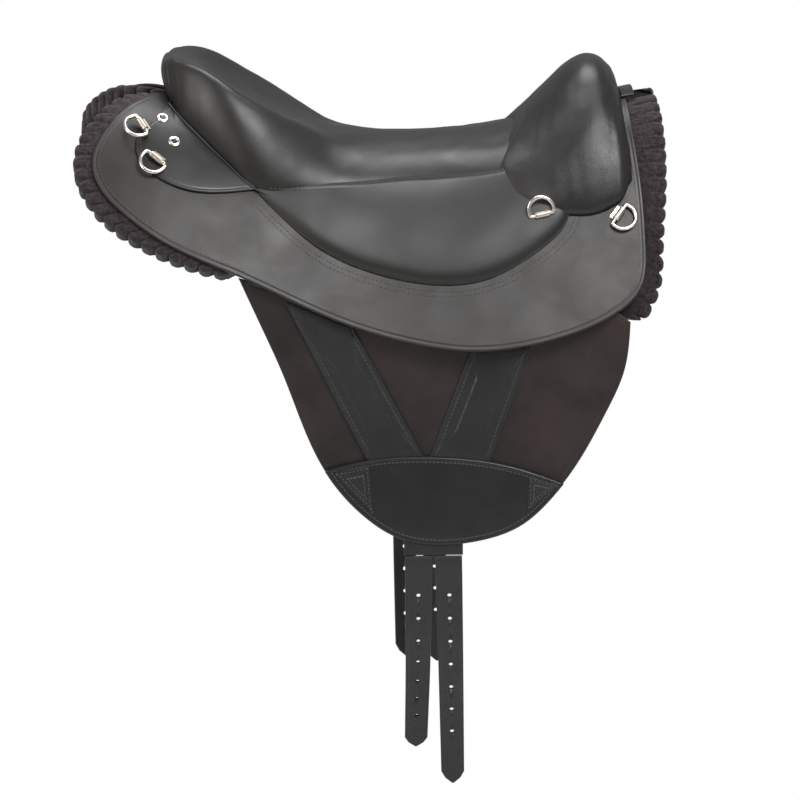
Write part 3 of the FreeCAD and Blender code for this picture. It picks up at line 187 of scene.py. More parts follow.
def away_from(middle, line, ahead):
    """Unit directions square to a flat line, on the side away from a middle point."""
    ahead = unit(ahead)
    outward = np.stack([ahead[:, 1], -ahead[:, 0]], -1)
    if ((line - middle) * outward).sum() < 0.0:
        outward = -outward
    return outward


def inset_track(outline, distance, centre):
    """Closed line a set distance inside an outline, square to a chord of six points."""
    ahead = np.roll(outline, -3, axis=0) - np.roll(outline, 3, axis=0)
    line = outline - away_from(np.asarray(centre, float), outline, ahead) * distance
    return np.vstack([line, line[:1]])


def waves(points, length, seed, count=7):
    """Smooth unevenness: a sum of plane waves of about one length, in seeded directions."""
    random = np.random.default_rng(seed)
    total = np.zeros(points.shape[:-1])
    for _ in range(count):
        way = random.normal(size=3)
        way /= np.linalg.norm(way)
        pitch = length * random.uniform(0.7, 1.4)
        total += np.sin(points @ way * (2.0 * math.pi / pitch) + random.uniform(0, 6.3))
    return total / math.sqrt(count)


# Meshes. A shape is its points, its four-sided faces and its triangles.


def volume_of(points, faces):
    """Signed volume: the sum over triangles of corner products, over six."""
    if faces.shape[1] == 4:
        faces = np.vstack([faces[:, [0, 1, 2]], faces[:, [0, 2, 3]]])
    a, b, c = points[faces[:, 0]], points[faces[:, 1]], points[faces[:, 2]]
    return np.einsum("ij,ij->i", a, np.cross(b, c)).sum() / 6.0


def shown(name, data):
    """New object in the scene."""
    piece = bpy.data.objects.new(name, data)
    bpy.context.scene.collection.objects.link(piece)
    return piece


def put(name, shape, finish, body, smooth=True):
    """Mesh object in metres, faces outwards, with its finish and body."""
    points, quads, triangles = shape
    faces = [tuple(face) for face in quads.tolist() + triangles.tolist()]
    if volume_of(points, quads) + volume_of(points, triangles) < 0.0:
        faces = [face[::-1] for face in faces]
    mesh = bpy.data.meshes.new(name)
    mesh.from_pydata((points * 0.001).tolist(), [], faces)
    mesh.validate()
    if smooth:
        mesh.polygons.foreach_set("use_smooth", np.ones(len(mesh.polygons), bool))
    mesh.materials.append(finish)
    piece = shown(name, mesh)
    if body:
        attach(piece, body)
    return piece


def net(rows, columns):
    """Quads of a grid whose rows close on themselves."""
    r = np.arange(rows - 1)[:, None]
    c = np.arange(columns)[None, :]
    after = (c + 1) % columns
    quads = np.stack([r * columns + c, r * columns + after, (r + 1) * columns + after, (r + 1) * columns + c], -1)
    return quads.reshape(-1, 4)


def sealed(grid):
    """Closed mesh of rings stacked from one pole to the other; the poles are ring middles."""
    rows, columns = grid.shape[:2]
    points = np.vstack([grid.reshape(-1, 3), grid[0].mean(0), grid[-1].mean(0)])
    c = np.arange(columns)
    after = (c + 1) % columns
    start, end = rows * columns, rows * columns + 1
    base = (rows - 1) * columns
    caps = np.vstack([
        np.stack([np.full(columns, start), after, c], -1),
        np.stack([np.full(columns, end), base + c, base + after], -1),
    ])
    return points, net(rows, columns), caps


def tube(grid):
    """Mesh of a closed run of rings, the last joined to the first."""
    rows, columns = grid.shape[:2]
    return grid.reshape(-1, 3), net(rows + 1, columns) % (rows * columns)


def gathered(blocks):
    """One shape out of many blocks of points and quads, their corners renumbered."""
    starts = np.cumsum([0] + [len(points) for points, _ in blocks[:-1]])
    points = np.vstack([points for points, _ in blocks])
    quads = np.vstack([quads + start for (_, quads), start in zip(blocks, starts)])
    return points, quads, NO_CAPS


def mirrored(points):
    """The other hand: y turned over."""
    return points * np.array([1.0, -1.0, 1.0])


def both_hands(points, quads):
    """A block and its mirror image, whose faces run the other way round."""
    return [(points, quads), (mirrored(points), quads[:, ::-1])]


def pair(name, shape, finish, body, node=None):
    """Right-hand piece and its mirror image, each standing for its own node."""
    points, quads, triangles = shape
    for side, spots in (("right", points), ("left", mirrored(points))):
        where = body if body == "saddle" else "%s_%s" % (body, side)
        piece = put("%s_%s" % (name, side), (spots, quads, triangles), finish, where)
        if node:
            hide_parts("%s_%s" % (node, side))


# A leather sheet's rings: their distances in from the edge, and how near its middle they end.

EDGE_RINGS = [1.6, 2.4, 3.2, 4.0, 4.8, 5.6, 6.6, 8.0, 10.0, 13.0, 17.0, 22.0]
NEARLY_MIDDLE = 0.985
DIP_DEEP, DIP_LONG = 3.5, 9.0


def leather_sheet(
    outline, centre, low, thick, place, corner, creases=(), crown=None, inner=14, wall=3, dips=None
):
    """Rings of a flat piece drawn from its outline to its centre.

    A ring lies a set distance inside the outline. Its height is the top face, less a
    quarter-round at the edge, less a shallow valley at each crease, less a dip at each
    marked point that dies away inwards, plus the crown; then the rings turn over the
    edge and run back along the lower face.
    """
    centre = np.asarray(centre, float)
    ahead = np.roll(outline, -1, axis=0) - np.roll(outline, 1, axis=0)
    far = np.linalg.norm(centre - outline, axis=1)
    reach = (centre - outline) / far[:, None]
    facing = np.clip(-(away_from(centre, outline, ahead) * reach).sum(1), 0.35, 1.0)
    corner = min(corner, 0.5 * thick)
    near = [distance for distance in EDGE_RINGS if distance > corner * 1.15]
    last = near[-1]
    top = low + thick
    rings = []

    def ring(distance, height, toward=0.0):
        step = np.minimum(distance / facing, 0.55 * far)
        base = outline + reach * step[:, None]
        inset = distance + toward * np.maximum(far - step, 0.0) * facing
        rings.append((base + (centre - base) * toward, inset, np.full(len(outline), height)))

    for share in np.linspace(1.0, 0.0, inner + 1)[:-1]:
        ring(last, top, min(share, NEARLY_MIDDLE))
    for distance in near[::-1]:
        ring(distance, top)
    for turn in np.linspace(0.0, 0.5 * math.pi, 5):
        ring(corner * (1.0 - math.sin(turn)), top - corner + corner * math.cos(turn))
    straight = thick - 2.0 * corner
    upright = straight > 0.5
    if upright:
        for share in np.linspace(0.0, 1.0, wall + 1)[1:-1]:
            ring(0.0, low + corner + straight * (1.0 - share))
    for turn in np.linspace(0.5 * math.pi, math.pi, 5)[0 if upright else 1 :]:
        ring(corner * (1.0 - math.sin(turn)), low + corner + corner * math.cos(turn))
    for distance in (6.0, 14.0, 22.0):
        ring(distance, low)
    for share in (0.3, 0.6, 0.85, NEARLY_MIDDLE):
        ring(last, low, share)
    flat, inset, height = [np.stack(part) for part in zip(*rings)]
    upper = height >= top - corner * 0.6
    for where, depth, width in creases:
        height = height - np.where(upper, depth * np.exp(-(((inset - where) / width) ** 2)), 0.0)
    if dips is not None:
        height = height - np.where(upper, DIP_DEEP * dips * np.exp(-inset / DIP_LONG), 0.0)
    if crown is not None:
        lift = crown(flat[..., 0], inset)
        height = height + np.where(height > low + 0.5 * thick, lift, 0.0)
    return sealed(place(flat[..., 0], flat[..., 1], height))


# A stitch: its rings along its length, how full each is and how deep it dips at its ends.

STITCH_CORNERS = 6
STITCH_ALONG = np.array([-0.5, -0.34, 0.0, 0.34, 0.5])
STITCH_FULL = np.array([0.35, 0.9, 1.0, 0.9, 0.35])
STITCH_DROP = np.array([-0.5, -0.08, 0.1, -0.08, -0.5])
STITCH_SINK = 0.1


def stitch_row(track, normals, pitch=4.2, long=3.1, thick=0.55):
    """Short rounded threads along a track: rings of six corners, fuller in the middle."""
    length = lengths(track)
    count = max(int(length[-1] / pitch), 1)
    spots = (np.arange(count) + 0.5) * length[-1] / count
    at = at_lengths(spots, length, track)
    ahead = unit(at_lengths(spots + 0.5, length, track) - at)
    up = at_lengths(spots, length, normals)
    up = unit(up - ahead * (up * ahead).sum(1)[:, None])
    turn = np.arange(STITCH_CORNERS) * 2.0 * math.pi / STITCH_CORNERS
    full = STITCH_FULL * thick
    drop = STITCH_DROP * thick - STITCH_SINK
    local = np.stack([
        np.repeat(STITCH_ALONG * long, STITCH_CORNERS),
        np.repeat(drop, STITCH_CORNERS) + np.outer(full, np.cos(turn)).ravel(),
        np.outer(full, np.sin(turn)).ravel(),
    ], -1)
    axes = np.stack([ahead, up, np.cross(ahead, up)], 1)
    points = at[:, None, :] + local @ axes
    caps = np.array([[0, 5, 4, 3], [0, 3, 2, 1], [24, 25, 26, 27], [24, 27, 28, 29]])
    faces = np.vstack([net(len(full), STITCH_CORNERS), caps])
    shift = (np.arange(count) * len(local))[:, None, None]
    return points.reshape(-1, 3), (faces[None] + shift).reshape(-1, 4)


def sewn(name, tracks, body, slot="black_leather", **sizes):
    """All the stitch rows of a pair of pieces, one object on each side."""
    rows = [stitch_row(track, normals, **sizes) for track, normals in tracks]
    pair(name, gathered(rows), thread, body)


def row_on(place, flat, height):
    """Track on a placed face, with its normals from two heights."""
    track = place(flat[:, 0], flat[:, 1], np.full(len(flat), height))
    over = place(flat[:, 0], flat[:, 1], np.full(len(flat), height + 1.0))
    return track, over - track


# Finishes, all procedural on each piece's own coordinates.


def new_finish(name):
    """Empty finish with its shader and its Object coordinates."""
    finish = bpy.data.materials.new(name)
    finish.use_nodes = True
    tree = finish.node_tree
    place = tree.nodes.new("ShaderNodeTexCoord")
    return finish, tree, tree.nodes["Principled BSDF"], place.outputs["Object"]


def add(tree, kind, **values):
    """Node of a kind with its sockets and settings set by name."""
    node = tree.nodes.new(kind)
    for key, value in values.items():
        if key in node.inputs:
            node.inputs[key].default_value = value
        else:
            setattr(node, key, value)
    return node


def ramp(tree, source, low, high, first, second):
    """Colour that runs from first to second as the source runs from low to high."""
    node = tree.nodes.new("ShaderNodeValToRGB")
    for element, position, colour in zip(node.color_ramp.elements, (low, high), (first, second)):
        element.position = position
        element.color = (*colour, 1.0)
    tree.links.new(source, node.inputs["Fac"])
    return node.outputs["Color"]


def spread(tree, source, low, high, to_low, to_high):
    """Number mapped in a straight line from one range to another."""
    sizes = {"From Min": low, "From Max": high, "To Min": to_low, "To Max": to_high}
    node = add(tree, "ShaderNodeMapRange", **sizes)
    tree.links.new(source, node.inputs["Value"])
    return node.outputs["Result"]


def noise(tree, where, scale, detail=3.0, rough=0.55, twist=0.0):
    """Noise on the object's own coordinates."""
    node = add(tree, "ShaderNodeTexNoise", Scale=scale, Detail=detail, Roughness=rough, Distortion=twist)
    tree.links.new(where, node.inputs["Vector"])
    return node.outputs["Fac"]


def cells(tree, where, scale):
    """Distance to the edge of the nearest cell, on the object's own coordinates."""
    node = add(tree, "ShaderNodeTexVoronoi", feature="DISTANCE_TO_EDGE", Scale=scale)
    tree.links.new(where, node.inputs["Vector"])
    return node.outputs["Distance"]


def bumps(tree, shader, layers):
    """Chain of bumps: (height source, strength, distance in metres)."""
    normal = None
    for source, strength, distance in layers:
        node = add(tree, "ShaderNodeBump", Strength=strength, Distance=distance)
        tree.links.new(source, node.inputs["Height"])
        if normal is not None:
            tree.links.new(normal, node.inputs["Normal"])
        normal = node.outputs["Normal"]
    tree.links.new(normal, shader.inputs["Normal"])


def leather(name, dark, light, grain, depth, rough, folds):
    """Dyed leather: cell grain under fine pores, cloudy dye, uneven polish."""
    finish, tree, shader, where = new_finish(name)
    clouds = noise(tree, where, 9.0, 4.0, 0.6)
    tree.links.new(ramp(tree, clouds, 0.35, 0.68, dark, light), shader.inputs["Base Color"])
    polish = noise(tree, where, 22.0, 3.0, 0.6, 0.4)
    tree.links.new(spread(tree, polish, 0.3, 0.7, rough - 0.06, rough + 0.07), shader.inputs["Roughness"])
    pores = noise(tree, where, grain * 2.2, 2.0, 0.6)
    layers = [(pores, 0.25, 0.00012), (cells(tree, where, grain), depth, 0.00035)]
    if folds:
        layers.append((noise(tree, where, 46.0, 3.0, 0.55, 1.6), folds, 0.0012))
    bumps(tree, shader, layers)
    return finish


# Dark dye, light dye, cells of grain per metre, depth of the grain, roughness, soft folds.

LEATHERS = {
    "skirt": ((0.0085, 0.0072, 0.0062), (0.0155, 0.0125, 0.0105), 620.0, 0.16, 0.45, 0.0),
    "flap": ((0.0095, 0.0066, 0.0060), (0.0270, 0.0165, 0.0150), 560.0, 0.16, 0.38, 0.0),
    "patch": ((0.0060, 0.0055, 0.0055), (0.0115, 0.0100, 0.0098), 560.0, 0.20, 0.34, 0.0),
    "strap": ((0.0065, 0.0068, 0.0078), (0.0125, 0.0128, 0.0140), 320.0, 1.00, 0.42, 0.0),
    "seat": ((0.0085, 0.0078, 0.0072), (0.0145, 0.0130, 0.0122), 760.0, 0.22, 0.41, 0.06),
    "pommel": ((0.0075, 0.0068, 0.0070), (0.0140, 0.0122, 0.0125), 700.0, 0.60, 0.36, 0.10),
    "panel": ((0.0095, 0.0088, 0.0082), (0.0155, 0.0140, 0.0130), 700.0, 0.20, 0.44, 0.04),
}
hide = {kind: leather(kind + "_leather", *values) for kind, values in LEATHERS.items()}


def wool_finish():
    """Dense felted wool: fibre speckle, tufts and a soft sheen."""
    finish, tree, shader, where = new_finish("wool_pile")
    tufts = noise(tree, where, 260.0, 4.0, 0.7)
    fibres = noise(tree, where, 1500.0, 3.0, 0.75, 0.8)
    mixed = add(tree, "ShaderNodeMath", operation="MULTIPLY")
    tree.links.new(tufts, mixed.inputs[0])
    tree.links.new(fibres, mixed.inputs[1])
    colour = ramp(tree, mixed.outputs[0], 0.16, 0.42, (0.0085, 0.006, 0.0072), (0.066, 0.050, 0.054))
    tree.links.new(colour, shader.inputs["Base Color"])
    shader.inputs["Roughness"].default_value = 0.95
    shader.inputs["Specular IOR Level"].default_value = 0.15
    shader.inputs["Sheen Weight"].default_value = 0.18
    shader.inputs["Sheen Roughness"].default_value = 0.5
    bumps(tree, shader, [(tufts, 0.6, 0.0016), (fibres, 0.7, 0.0005)])
    return finish


def metal(name, colour, rough, scratch=0.02, grain=900.0):
    """Plated or brushed metal with faint handling marks."""
    finish, tree, shader, where = new_finish(name)
    marks = noise(tree, where, grain, 3.0, 0.6)
    warm = noise(tree, where, 60.0, 2.0, 0.5)
    shade = ramp(tree, warm, 0.35, 0.65, tuple(0.86 * c for c in colour), colour)
    tree.links.new(shade, shader.inputs["Base Color"])
    tree.links.new(spread(tree, marks, 0.3, 0.7, rough * 0.8, rough * 1.25), shader.inputs["Roughness"])
    bumps(tree, shader, [(marks, scratch, 0.0002)])
    shader.inputs["Metallic"].default_value = 1.0
    return finish


def plain(name, dark, light, scale, rough, depth):
    """Moulded stuff or waxed thread: mottled colour and a fine pitted face."""
    finish, tree, shader, where = new_finish(name)
    spots = noise(tree, where, scale, 3.0, 0.6)
    tree.links.new(ramp(tree, spots, 0.35, 0.65, dark, light), shader.inputs["Base Color"])
    shader.inputs["Roughness"].default_value = rough
    bumps(tree, shader, [(noise(tree, where, scale * 2.5, 3.0, 0.7), depth, 0.0006)])
    return finish


wool_pile = wool_finish()
nickel = metal("bright_nickel", (0.80, 0.75, 0.68), 0.20)
clip_metal = metal("clip_nickel", (0.62, 0.54, 0.45), 0.28, 0.05)
steel = metal("plain_steel", (0.52, 0.52, 0.53), 0.4, 0.15, 400.0)
tree_stuff = plain("tree_stuff", (0.05, 0.05, 0.05), (0.08, 0.08, 0.08), 120.0, 0.6, 0.3)
thread = plain("waxed_thread", (0.030, 0.028, 0.027), (0.075, 0.070, 0.066), 1800.0, 0.45, 0.4)


# Skirts, drawn as a pattern of station and fall.

SKIRT_EDGE = [
    (-205.0, -61.0), (-243.0, -31.0), (-267.0, 3.0), (-280.0, 39.0), (-270.0, 73.0), (-246.0, 100.0),
    (-211.0, 126.0), (-140.0, 155.0), (-39.0, 197.0), (32.0, 219.0), (107.0, 230.5), (194.0, 218.0),
    (254.0, 192.0), (277.0, 170.0), (285.0, 120.0), (282.5, 62.0), (276.0, 0.0), (272.0, -54.0),
]
SKIRT_CENTRE = (30.0, 60.0)
SPINE_RUN = 17.0

skirt_edge = through(SKIRT_EDGE, 2.6)
spine_x = np.linspace(SKIRT_EDGE[-1][0], SKIRT_EDGE[0][0], 170)
spine_edge = np.stack([spine_x, fall_of(back(spine_x, SPINE_RUN, SKIRT_LOW + PATTERN_LEVEL))], -1)
skirt_outline = joined(skirt_edge, spine_edge)


def skirt_place(x, fall, height):
    """Skirt points: the flared back surface, with a slow waviness that fades near the spine."""
    points = on_side(x, fall, height)
    wave = 0.35 * waves(points, 150.0, 3) + 0.15 * waves(points, 60.0, 4)
    rough_run = fall + back_values(x)[0] * 0.75
    calm = climb((rough_run - 60.0) / 60.0)
    return points + np.array([0.0, -0.86, 0.5]) * (wave * calm)[..., None]


skirt_shape = leather_sheet(
    skirt_outline, SKIRT_CENTRE, SKIRT_LOW, SKIRT_TOP - SKIRT_LOW, skirt_place,
    corner=1.5, creases=((4.4, 0.45, 0.7),), inner=40,
)
pair("skirt_leather", skirt_shape, hide["skirt"], "saddle", "skirt")

# Wool panels.

WOOL_REAR_EDGE = [
    (-209.0, -67.0), (-243.0, -58.0), (-276.0, -21.0), (-294.0, 15.0), (-297.0, 43.0),
    (-288.0, 73.0), (-267.0, 101.0), (-221.0, 132.0), (-171.0, 150.0), (-143.0, 155.0),
]
WOOL_HIDDEN_EDGE = [
    (-143.0, 155.0), (-131.0, 149.0), (-110.0, 143.0), (60.0, 142.0), (225.0, 143.0),
    (240.0, 150.0), (248.0, 172.0), (262.0, 186.0), (284.0, 188.0),
]
WOOL_FRONT_EDGE = [
    (284.0, 188.0), (299.0, 160.0), (303.0, 122.0), (306.5, 74.0), (307.5, -2.0), (303.0, -62.0),
]
WOOL_MIDDLE = np.array([0.0, 60.0])
SCALLOP_PITCH = 15.5
CHANNEL_END, CHANNEL_SWELL = 10.0, 25.0
CHANNEL_MIDDLE, CHANNEL_REACH = 40.0, 280.0


def scalloped(edge, depth):
    """Edge with round bumps: out by the root of one less a power of the place in a scallop.

    The last column is how deep the crease is there, from 0 on a bump to 1 between two.
    """
    length = lengths(edge)
    count = max(round(length[-1] / SCALLOP_PITCH), 1)
    across = 2.0 * ((length / length[-1] * count) % 1.0) - 1.0
    bump = np.clip(1.0 - np.abs(across) ** 2.6, 0.0, 1.0) ** 0.5
    outward = away_from(WOOL_MIDDLE, edge, np.gradient(edge, axis=0))
    return np.c_[edge + outward * (depth * (bump - 0.72))[:, None], 1.0 - bump]


def smooth_edge(edge):
    """Edge without creases, in the columns of a scalloped one."""
    return np.c_[edge, np.zeros(len(edge))]


def wool_place(x, fall, height):
    """Wool points: the back surface, roughened by two lengths of short waves."""
    points = on_side(x, fall, height, 90.0)
    rough = 0.55 * waves(points, 7.0, 11) + 0.35 * waves(points, 3.4, 12)
    return points + np.array([0.25, -0.6, 0.4]) * rough[..., None]


channel_x = np.linspace(WOOL_FRONT_EDGE[-1][0], -214.0, 170)
channel_share = np.clip(1.0 - (np.abs(channel_x - CHANNEL_MIDDLE) / CHANNEL_REACH) ** 2, 0.0, 1.0)
channel_half = CHANNEL_END + CHANNEL_SWELL * channel_share
channel_edge = np.stack([channel_x, fall_of(back(channel_x, channel_half, -4.0, 90.0))], -1)
wool_edge = joined(
    scalloped(through(WOOL_REAR_EDGE, 1.3), 8.5),
    smooth_edge(through(WOOL_HIDDEN_EDGE, 3.0)),
    scalloped(through(WOOL_FRONT_EDGE, 1.3), 7.5),
    smooth_edge(channel_edge),
)
wool_shape = leather_sheet(
    wool_edge[:, :2], (0.0, 55.0), -WOOL_DEEP, WOOL_DEEP, wool_place,
    corner=5.0, inner=34, wall=9, dips=wool_edge[:, 2],
)
pair("wool_pile", wool_shape, wool_pile, "saddle", "wool_panel")

# Seat. Station, half width, half width of the rim, height of the rim, height of the middle;
# both heights are over the spine.

SEAT = np.array([
    (-210.0, 26.0, 12.0, 26.0, 27.0),
    (-203.0, 46.0, 26.0, 39.0, 40.0),
    (-190.0, 64.0, 42.0, 45.5, 44.0),
    (-172.0, 80.0, 56.0, 49.0, 42.0),
    (-154.0, 93.0, 68.0, 47.5, 34.0),
    (-139.0, 102.0, 75.0, 43.5, 28.0),
    (-124.0, 110.0, 78.0, 39.0, 24.0),
    (-104.0, 115.0, 77.0, 34.5, 20.0),
    (-80.0, 113.0, 69.0, 28.0, 18.0),
    (-60.0, 109.0, 60.0, 21.5, 17.0),
    (-40.0, 103.5, 54.0, 14.5, 16.5),
    (0.0, 94.0, 48.0, 12.5, 20.0),
    (40.0, 86.0, 44.0, 13.5, 21.5),
    (80.0, 86.0, 44.0, 13.0, 20.5),
    (125.0, 91.0, 46.0, 7.5, 15.0),
    (172.0, 92.0, 46.0, 0.0, 7.5),
])
SEAT_REAR, SEAT_FRONT = -203.0, 172.0
SEAT_END = 8.0
SEAT_EDGE = 1.2
SEAT_FOLD = 4.0
FLANK_BOW = 0.09
SEAT_ROUNDS = 22
REAR_TUCK, TUCK_START, TUCK_LONG, TUCK_DEEP = 7.0, -192.0, 16.0, 55.0


def eased(table, x):
    """Rows of a table at stations x, by a cubic that keeps each row's own slope."""
    stations = table[:, 0]
    slopes = np.gradient(table[:, 1:], stations, axis=0)
    k = np.clip(np.searchsorted(stations, x) - 1, 0, len(stations) - 2)
    gap = (stations[k + 1] - stations[k])[:, None]
    t = ((x - stations[k])[:, None]) / gap
    a, b = table[k, 1:], table[k + 1, 1:]
    leaving, arriving = slopes[k] * gap, slopes[k + 1] * gap
    share = 3 * t**2 - 2 * t**3
    return (1 - share) * a + share * b + (t**3 - 2 * t**2 + t) * leaving + (t**3 - t**2) * arriving


def averaged(rows, rounds):
    """Each point averaged with its neighbours along the first axis, over and over, ends held."""
    for _ in range(rounds):
        rows[1:-1] = 0.25 * rows[:-2] + 0.5 * rows[1:-1] + 0.25 * rows[2:]
    return rows


def crown_height(x, half):
    """Height of the arc over the spine at the seat's foot, a half width away."""
    top, radius = [np.reshape(value, (-1, 1)) for value in back_values(x)[:2]]
    return top - radius + np.sqrt((radius + SEAT_LOW) ** 2 - half**2)


def seat_shape():
    """Seat: flank bowed by a share of its width, then a rounded rim, then a dished or domed top.

    Rings are drawn in at the rear end along a quarter-round and tucked forward lower down,
    and low folds gather before the pommel.
    """
    turn = np.linspace(0.0, 0.5 * math.pi, 12)[1:-1][::-1]
    stations = np.linspace(SEAT_REAR, SEAT_FRONT, 190)
    x = np.r_[SEAT_REAR - SEAT_END * np.sin(turn), stations][:, None]
    shrink = np.r_[np.cos(turn), np.ones(len(stations))][:, None]
    near_x = np.clip(x[:, 0], SEAT_REAR, SEAT_FRONT)
    half, rim, rim_high, middle_high = eased(SEAT, near_x).T[..., None]
    top = back_values(near_x)[0][:, None]
    low_z = crown_height(near_x, half)
    fold_z = low_z + SEAT_FOLD
    rim_z, middle_z = top + rim_high, top + middle_high
    t = np.linspace(0.0, 1.0, 34)
    bow = 4.0 * FLANK_BOW * t * (1.0 - t)
    flank_y = half - (half - rim) * t + bow * np.abs(rim_z - fold_z)
    flank_z = fold_z + (rim_z - fold_z) * t + bow * (half - rim)
    s = np.linspace(1.0, 0.0, 26)[1:]
    crest_z = middle_z + (rim_z - middle_z) * s**2
    y = averaged(np.hstack([half - SEAT_EDGE, half, flank_y, rim * s]).T, SEAT_ROUNDS).T
    z = averaged(np.hstack([low_z, low_z + SEAT_EDGE, flank_z, crest_z]).T, SEAT_ROUNDS).T
    under_y = (half - SEAT_EDGE) * np.linspace(0.0, 1.0, 9)[:-1]
    y = np.hstack([under_y, y])
    z = np.hstack([crown_height(near_x, under_y), z])
    full_y = np.hstack([-y, y[:, -2:0:-1]])
    full_z = np.hstack([z, z[:, -2:0:-1]])
    hub_z = 0.5 * (full_z.max(1) + full_z.min(1))[:, None] + 6.0
    full_y = full_y * shrink
    full_z = hub_z + (full_z - hub_z) * shrink
    full_x = np.repeat(x, full_y.shape[1], axis=1)
    deep = climb((full_z.max(1)[:, None] - full_z) / TUCK_DEEP)
    full_x = full_x + REAR_TUCK * deep * climb((TUCK_START - full_x) / TUCK_LONG)
    points = np.stack([full_x, full_y, full_z], -1)
    lift = 0.35 * waves(points, 70.0, 21) + 0.16 * waves(points, 26.0, 22)
    near_pommel = climb((full_x - 60.0) / 90.0) * climb((full_z - top - 6.0) / 12.0)
    folds = 0.45 * np.sin(full_x / 4.6 + 0.05 * full_y + 1.3 * waves(points, 60.0, 23)) * near_pommel
    points[..., 2] += lift + folds
    return sealed(points)


seat = put("seat_leather", seat_shape(), hide["seat"], "saddle")
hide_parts("seat_cover", "seat_foam")

# Pommel swell. Station, height of the crest, half width and height of the base; both heights
# are over the lowest point of the spine.

POMMEL = np.array([
    (124.0, 20.0, 84.0, 4.0),
    (140.0, 28.0, 103.0, -20.0),
    (161.0, 42.5, 116.0, -31.0),
    (188.0, 69.0, 125.0, -39.0),
    (212.0, 93.0, 128.0, -41.0),
    (232.0, 102.5, 128.0, -40.0),
    (251.0, 95.0, 125.0, -33.0),
    (263.0, 78.0, 121.0, -24.0),
    (270.0, 52.0, 112.0, -12.0),
])
SPINE_LOWEST = 28.0
POMMEL_FRONT, POMMEL_END = 266.0, 7.0
POMMEL_LIP = 15.0
POMMEL_STATIONS = 110
ROLL_LINES, FLANK_LINES, CREST_LINES = 5, 34, 19
BASE_ROLL, BASE_DROP = 14.0, 5.0

# Shares of the half width and of the height at the waist of a flank and at its shoulder.

WAIST_HALF, WAIST_HIGH = 0.82, 0.45
SHOULDER_HALF, SHOULDER_HIGH = 0.47, 0.82

# Where the pommel's rear edge starts: share of the way from the base to the crest, station.

REAR_SHARES = [0.0, 0.12, 0.3, 0.42, 0.55, 0.7, 0.85, 1.0]
REAR_STATIONS = [150.0, 140.0, 132.0, 132.0, 137.0, 147.0, 155.0, 158.0]


def arc_through(a, b, c, t):
    """Circle arc through three points of each row: its centre from the two bisectors."""
    (ax, ay), (bx, by), (cx, cy) = a, b, c
    aa, bb, cc = ax**2 + ay**2, bx**2 + by**2, cx**2 + cy**2
    d = 2.0 * (ax * (by - cy) + bx * (cy - ay) + cx * (ay - by))
    ux = (aa * (by - cy) + bb * (cy - ay) + cc * (ay - by)) / d
    uy = (aa * (cx - bx) + bb * (ax - cx) + cc * (bx - ax)) / d
    size = np.hypot(ax - ux, ay - uy)
    start = np.arctan2(ay - uy, ax - ux)
    end = np.arctan2(cy - uy, cx - ux)
    turn = (end - start + math.pi) % (2.0 * math.pi) - math.pi
    angle = start[:, None] + turn[:, None] * t
    return ux[:, None] + size[:, None] * np.cos(angle), uy[:, None] + size[:, None] * np.sin(angle)


def pommel_section(x, pinch):
    """Half sections of the swell: rolled base, flank arc and crest arc, up to the middle."""
    high, half, base = eased(POMMEL, np.clip(x, POMMEL[0, 0], POMMEL[-1, 0])).T
    base_z = SPINE_LOWEST + base
    top_z = SPINE_LOWEST + high - pinch
    half = half - pinch + 6.0 * (1.0 - climb((x - 150.0) / 60.0))
    tall = top_z - base_z
    waist = (-WAIST_HALF * half, base_z + WAIST_HIGH * tall)
    shoulder = (-SHOULDER_HALF * half, base_z + SHOULDER_HIGH * tall)
    far_shoulder = (-shoulder[0], shoulder[1])
    t = np.linspace(0.0, 1.0, FLANK_LINES)
    flank_y, flank_z = arc_through((-half, base_z), waist, shoulder, t)
    s = np.linspace(0.0, 1.0, 2 * CREST_LINES + 2)[1 : CREST_LINES + 1]
    crest_y, crest_z = arc_through(shoulder, (0.0 * half, top_z), far_shoulder, s)
    roll = 1.0 - np.linspace(0.0, 1.0, ROLL_LINES + 1)[:-1]
    roll_y = -half[:, None] + BASE_ROLL * roll**1.6
    roll_z = base_z[:, None] - BASE_DROP * np.sin(0.5 * math.pi * roll)
    y = np.hstack([roll_y, flank_y, crest_y, 0.0 * half[:, None]])
    z = np.hstack([roll_z, flank_z, crest_z, top_z[:, None]])
    return y, z


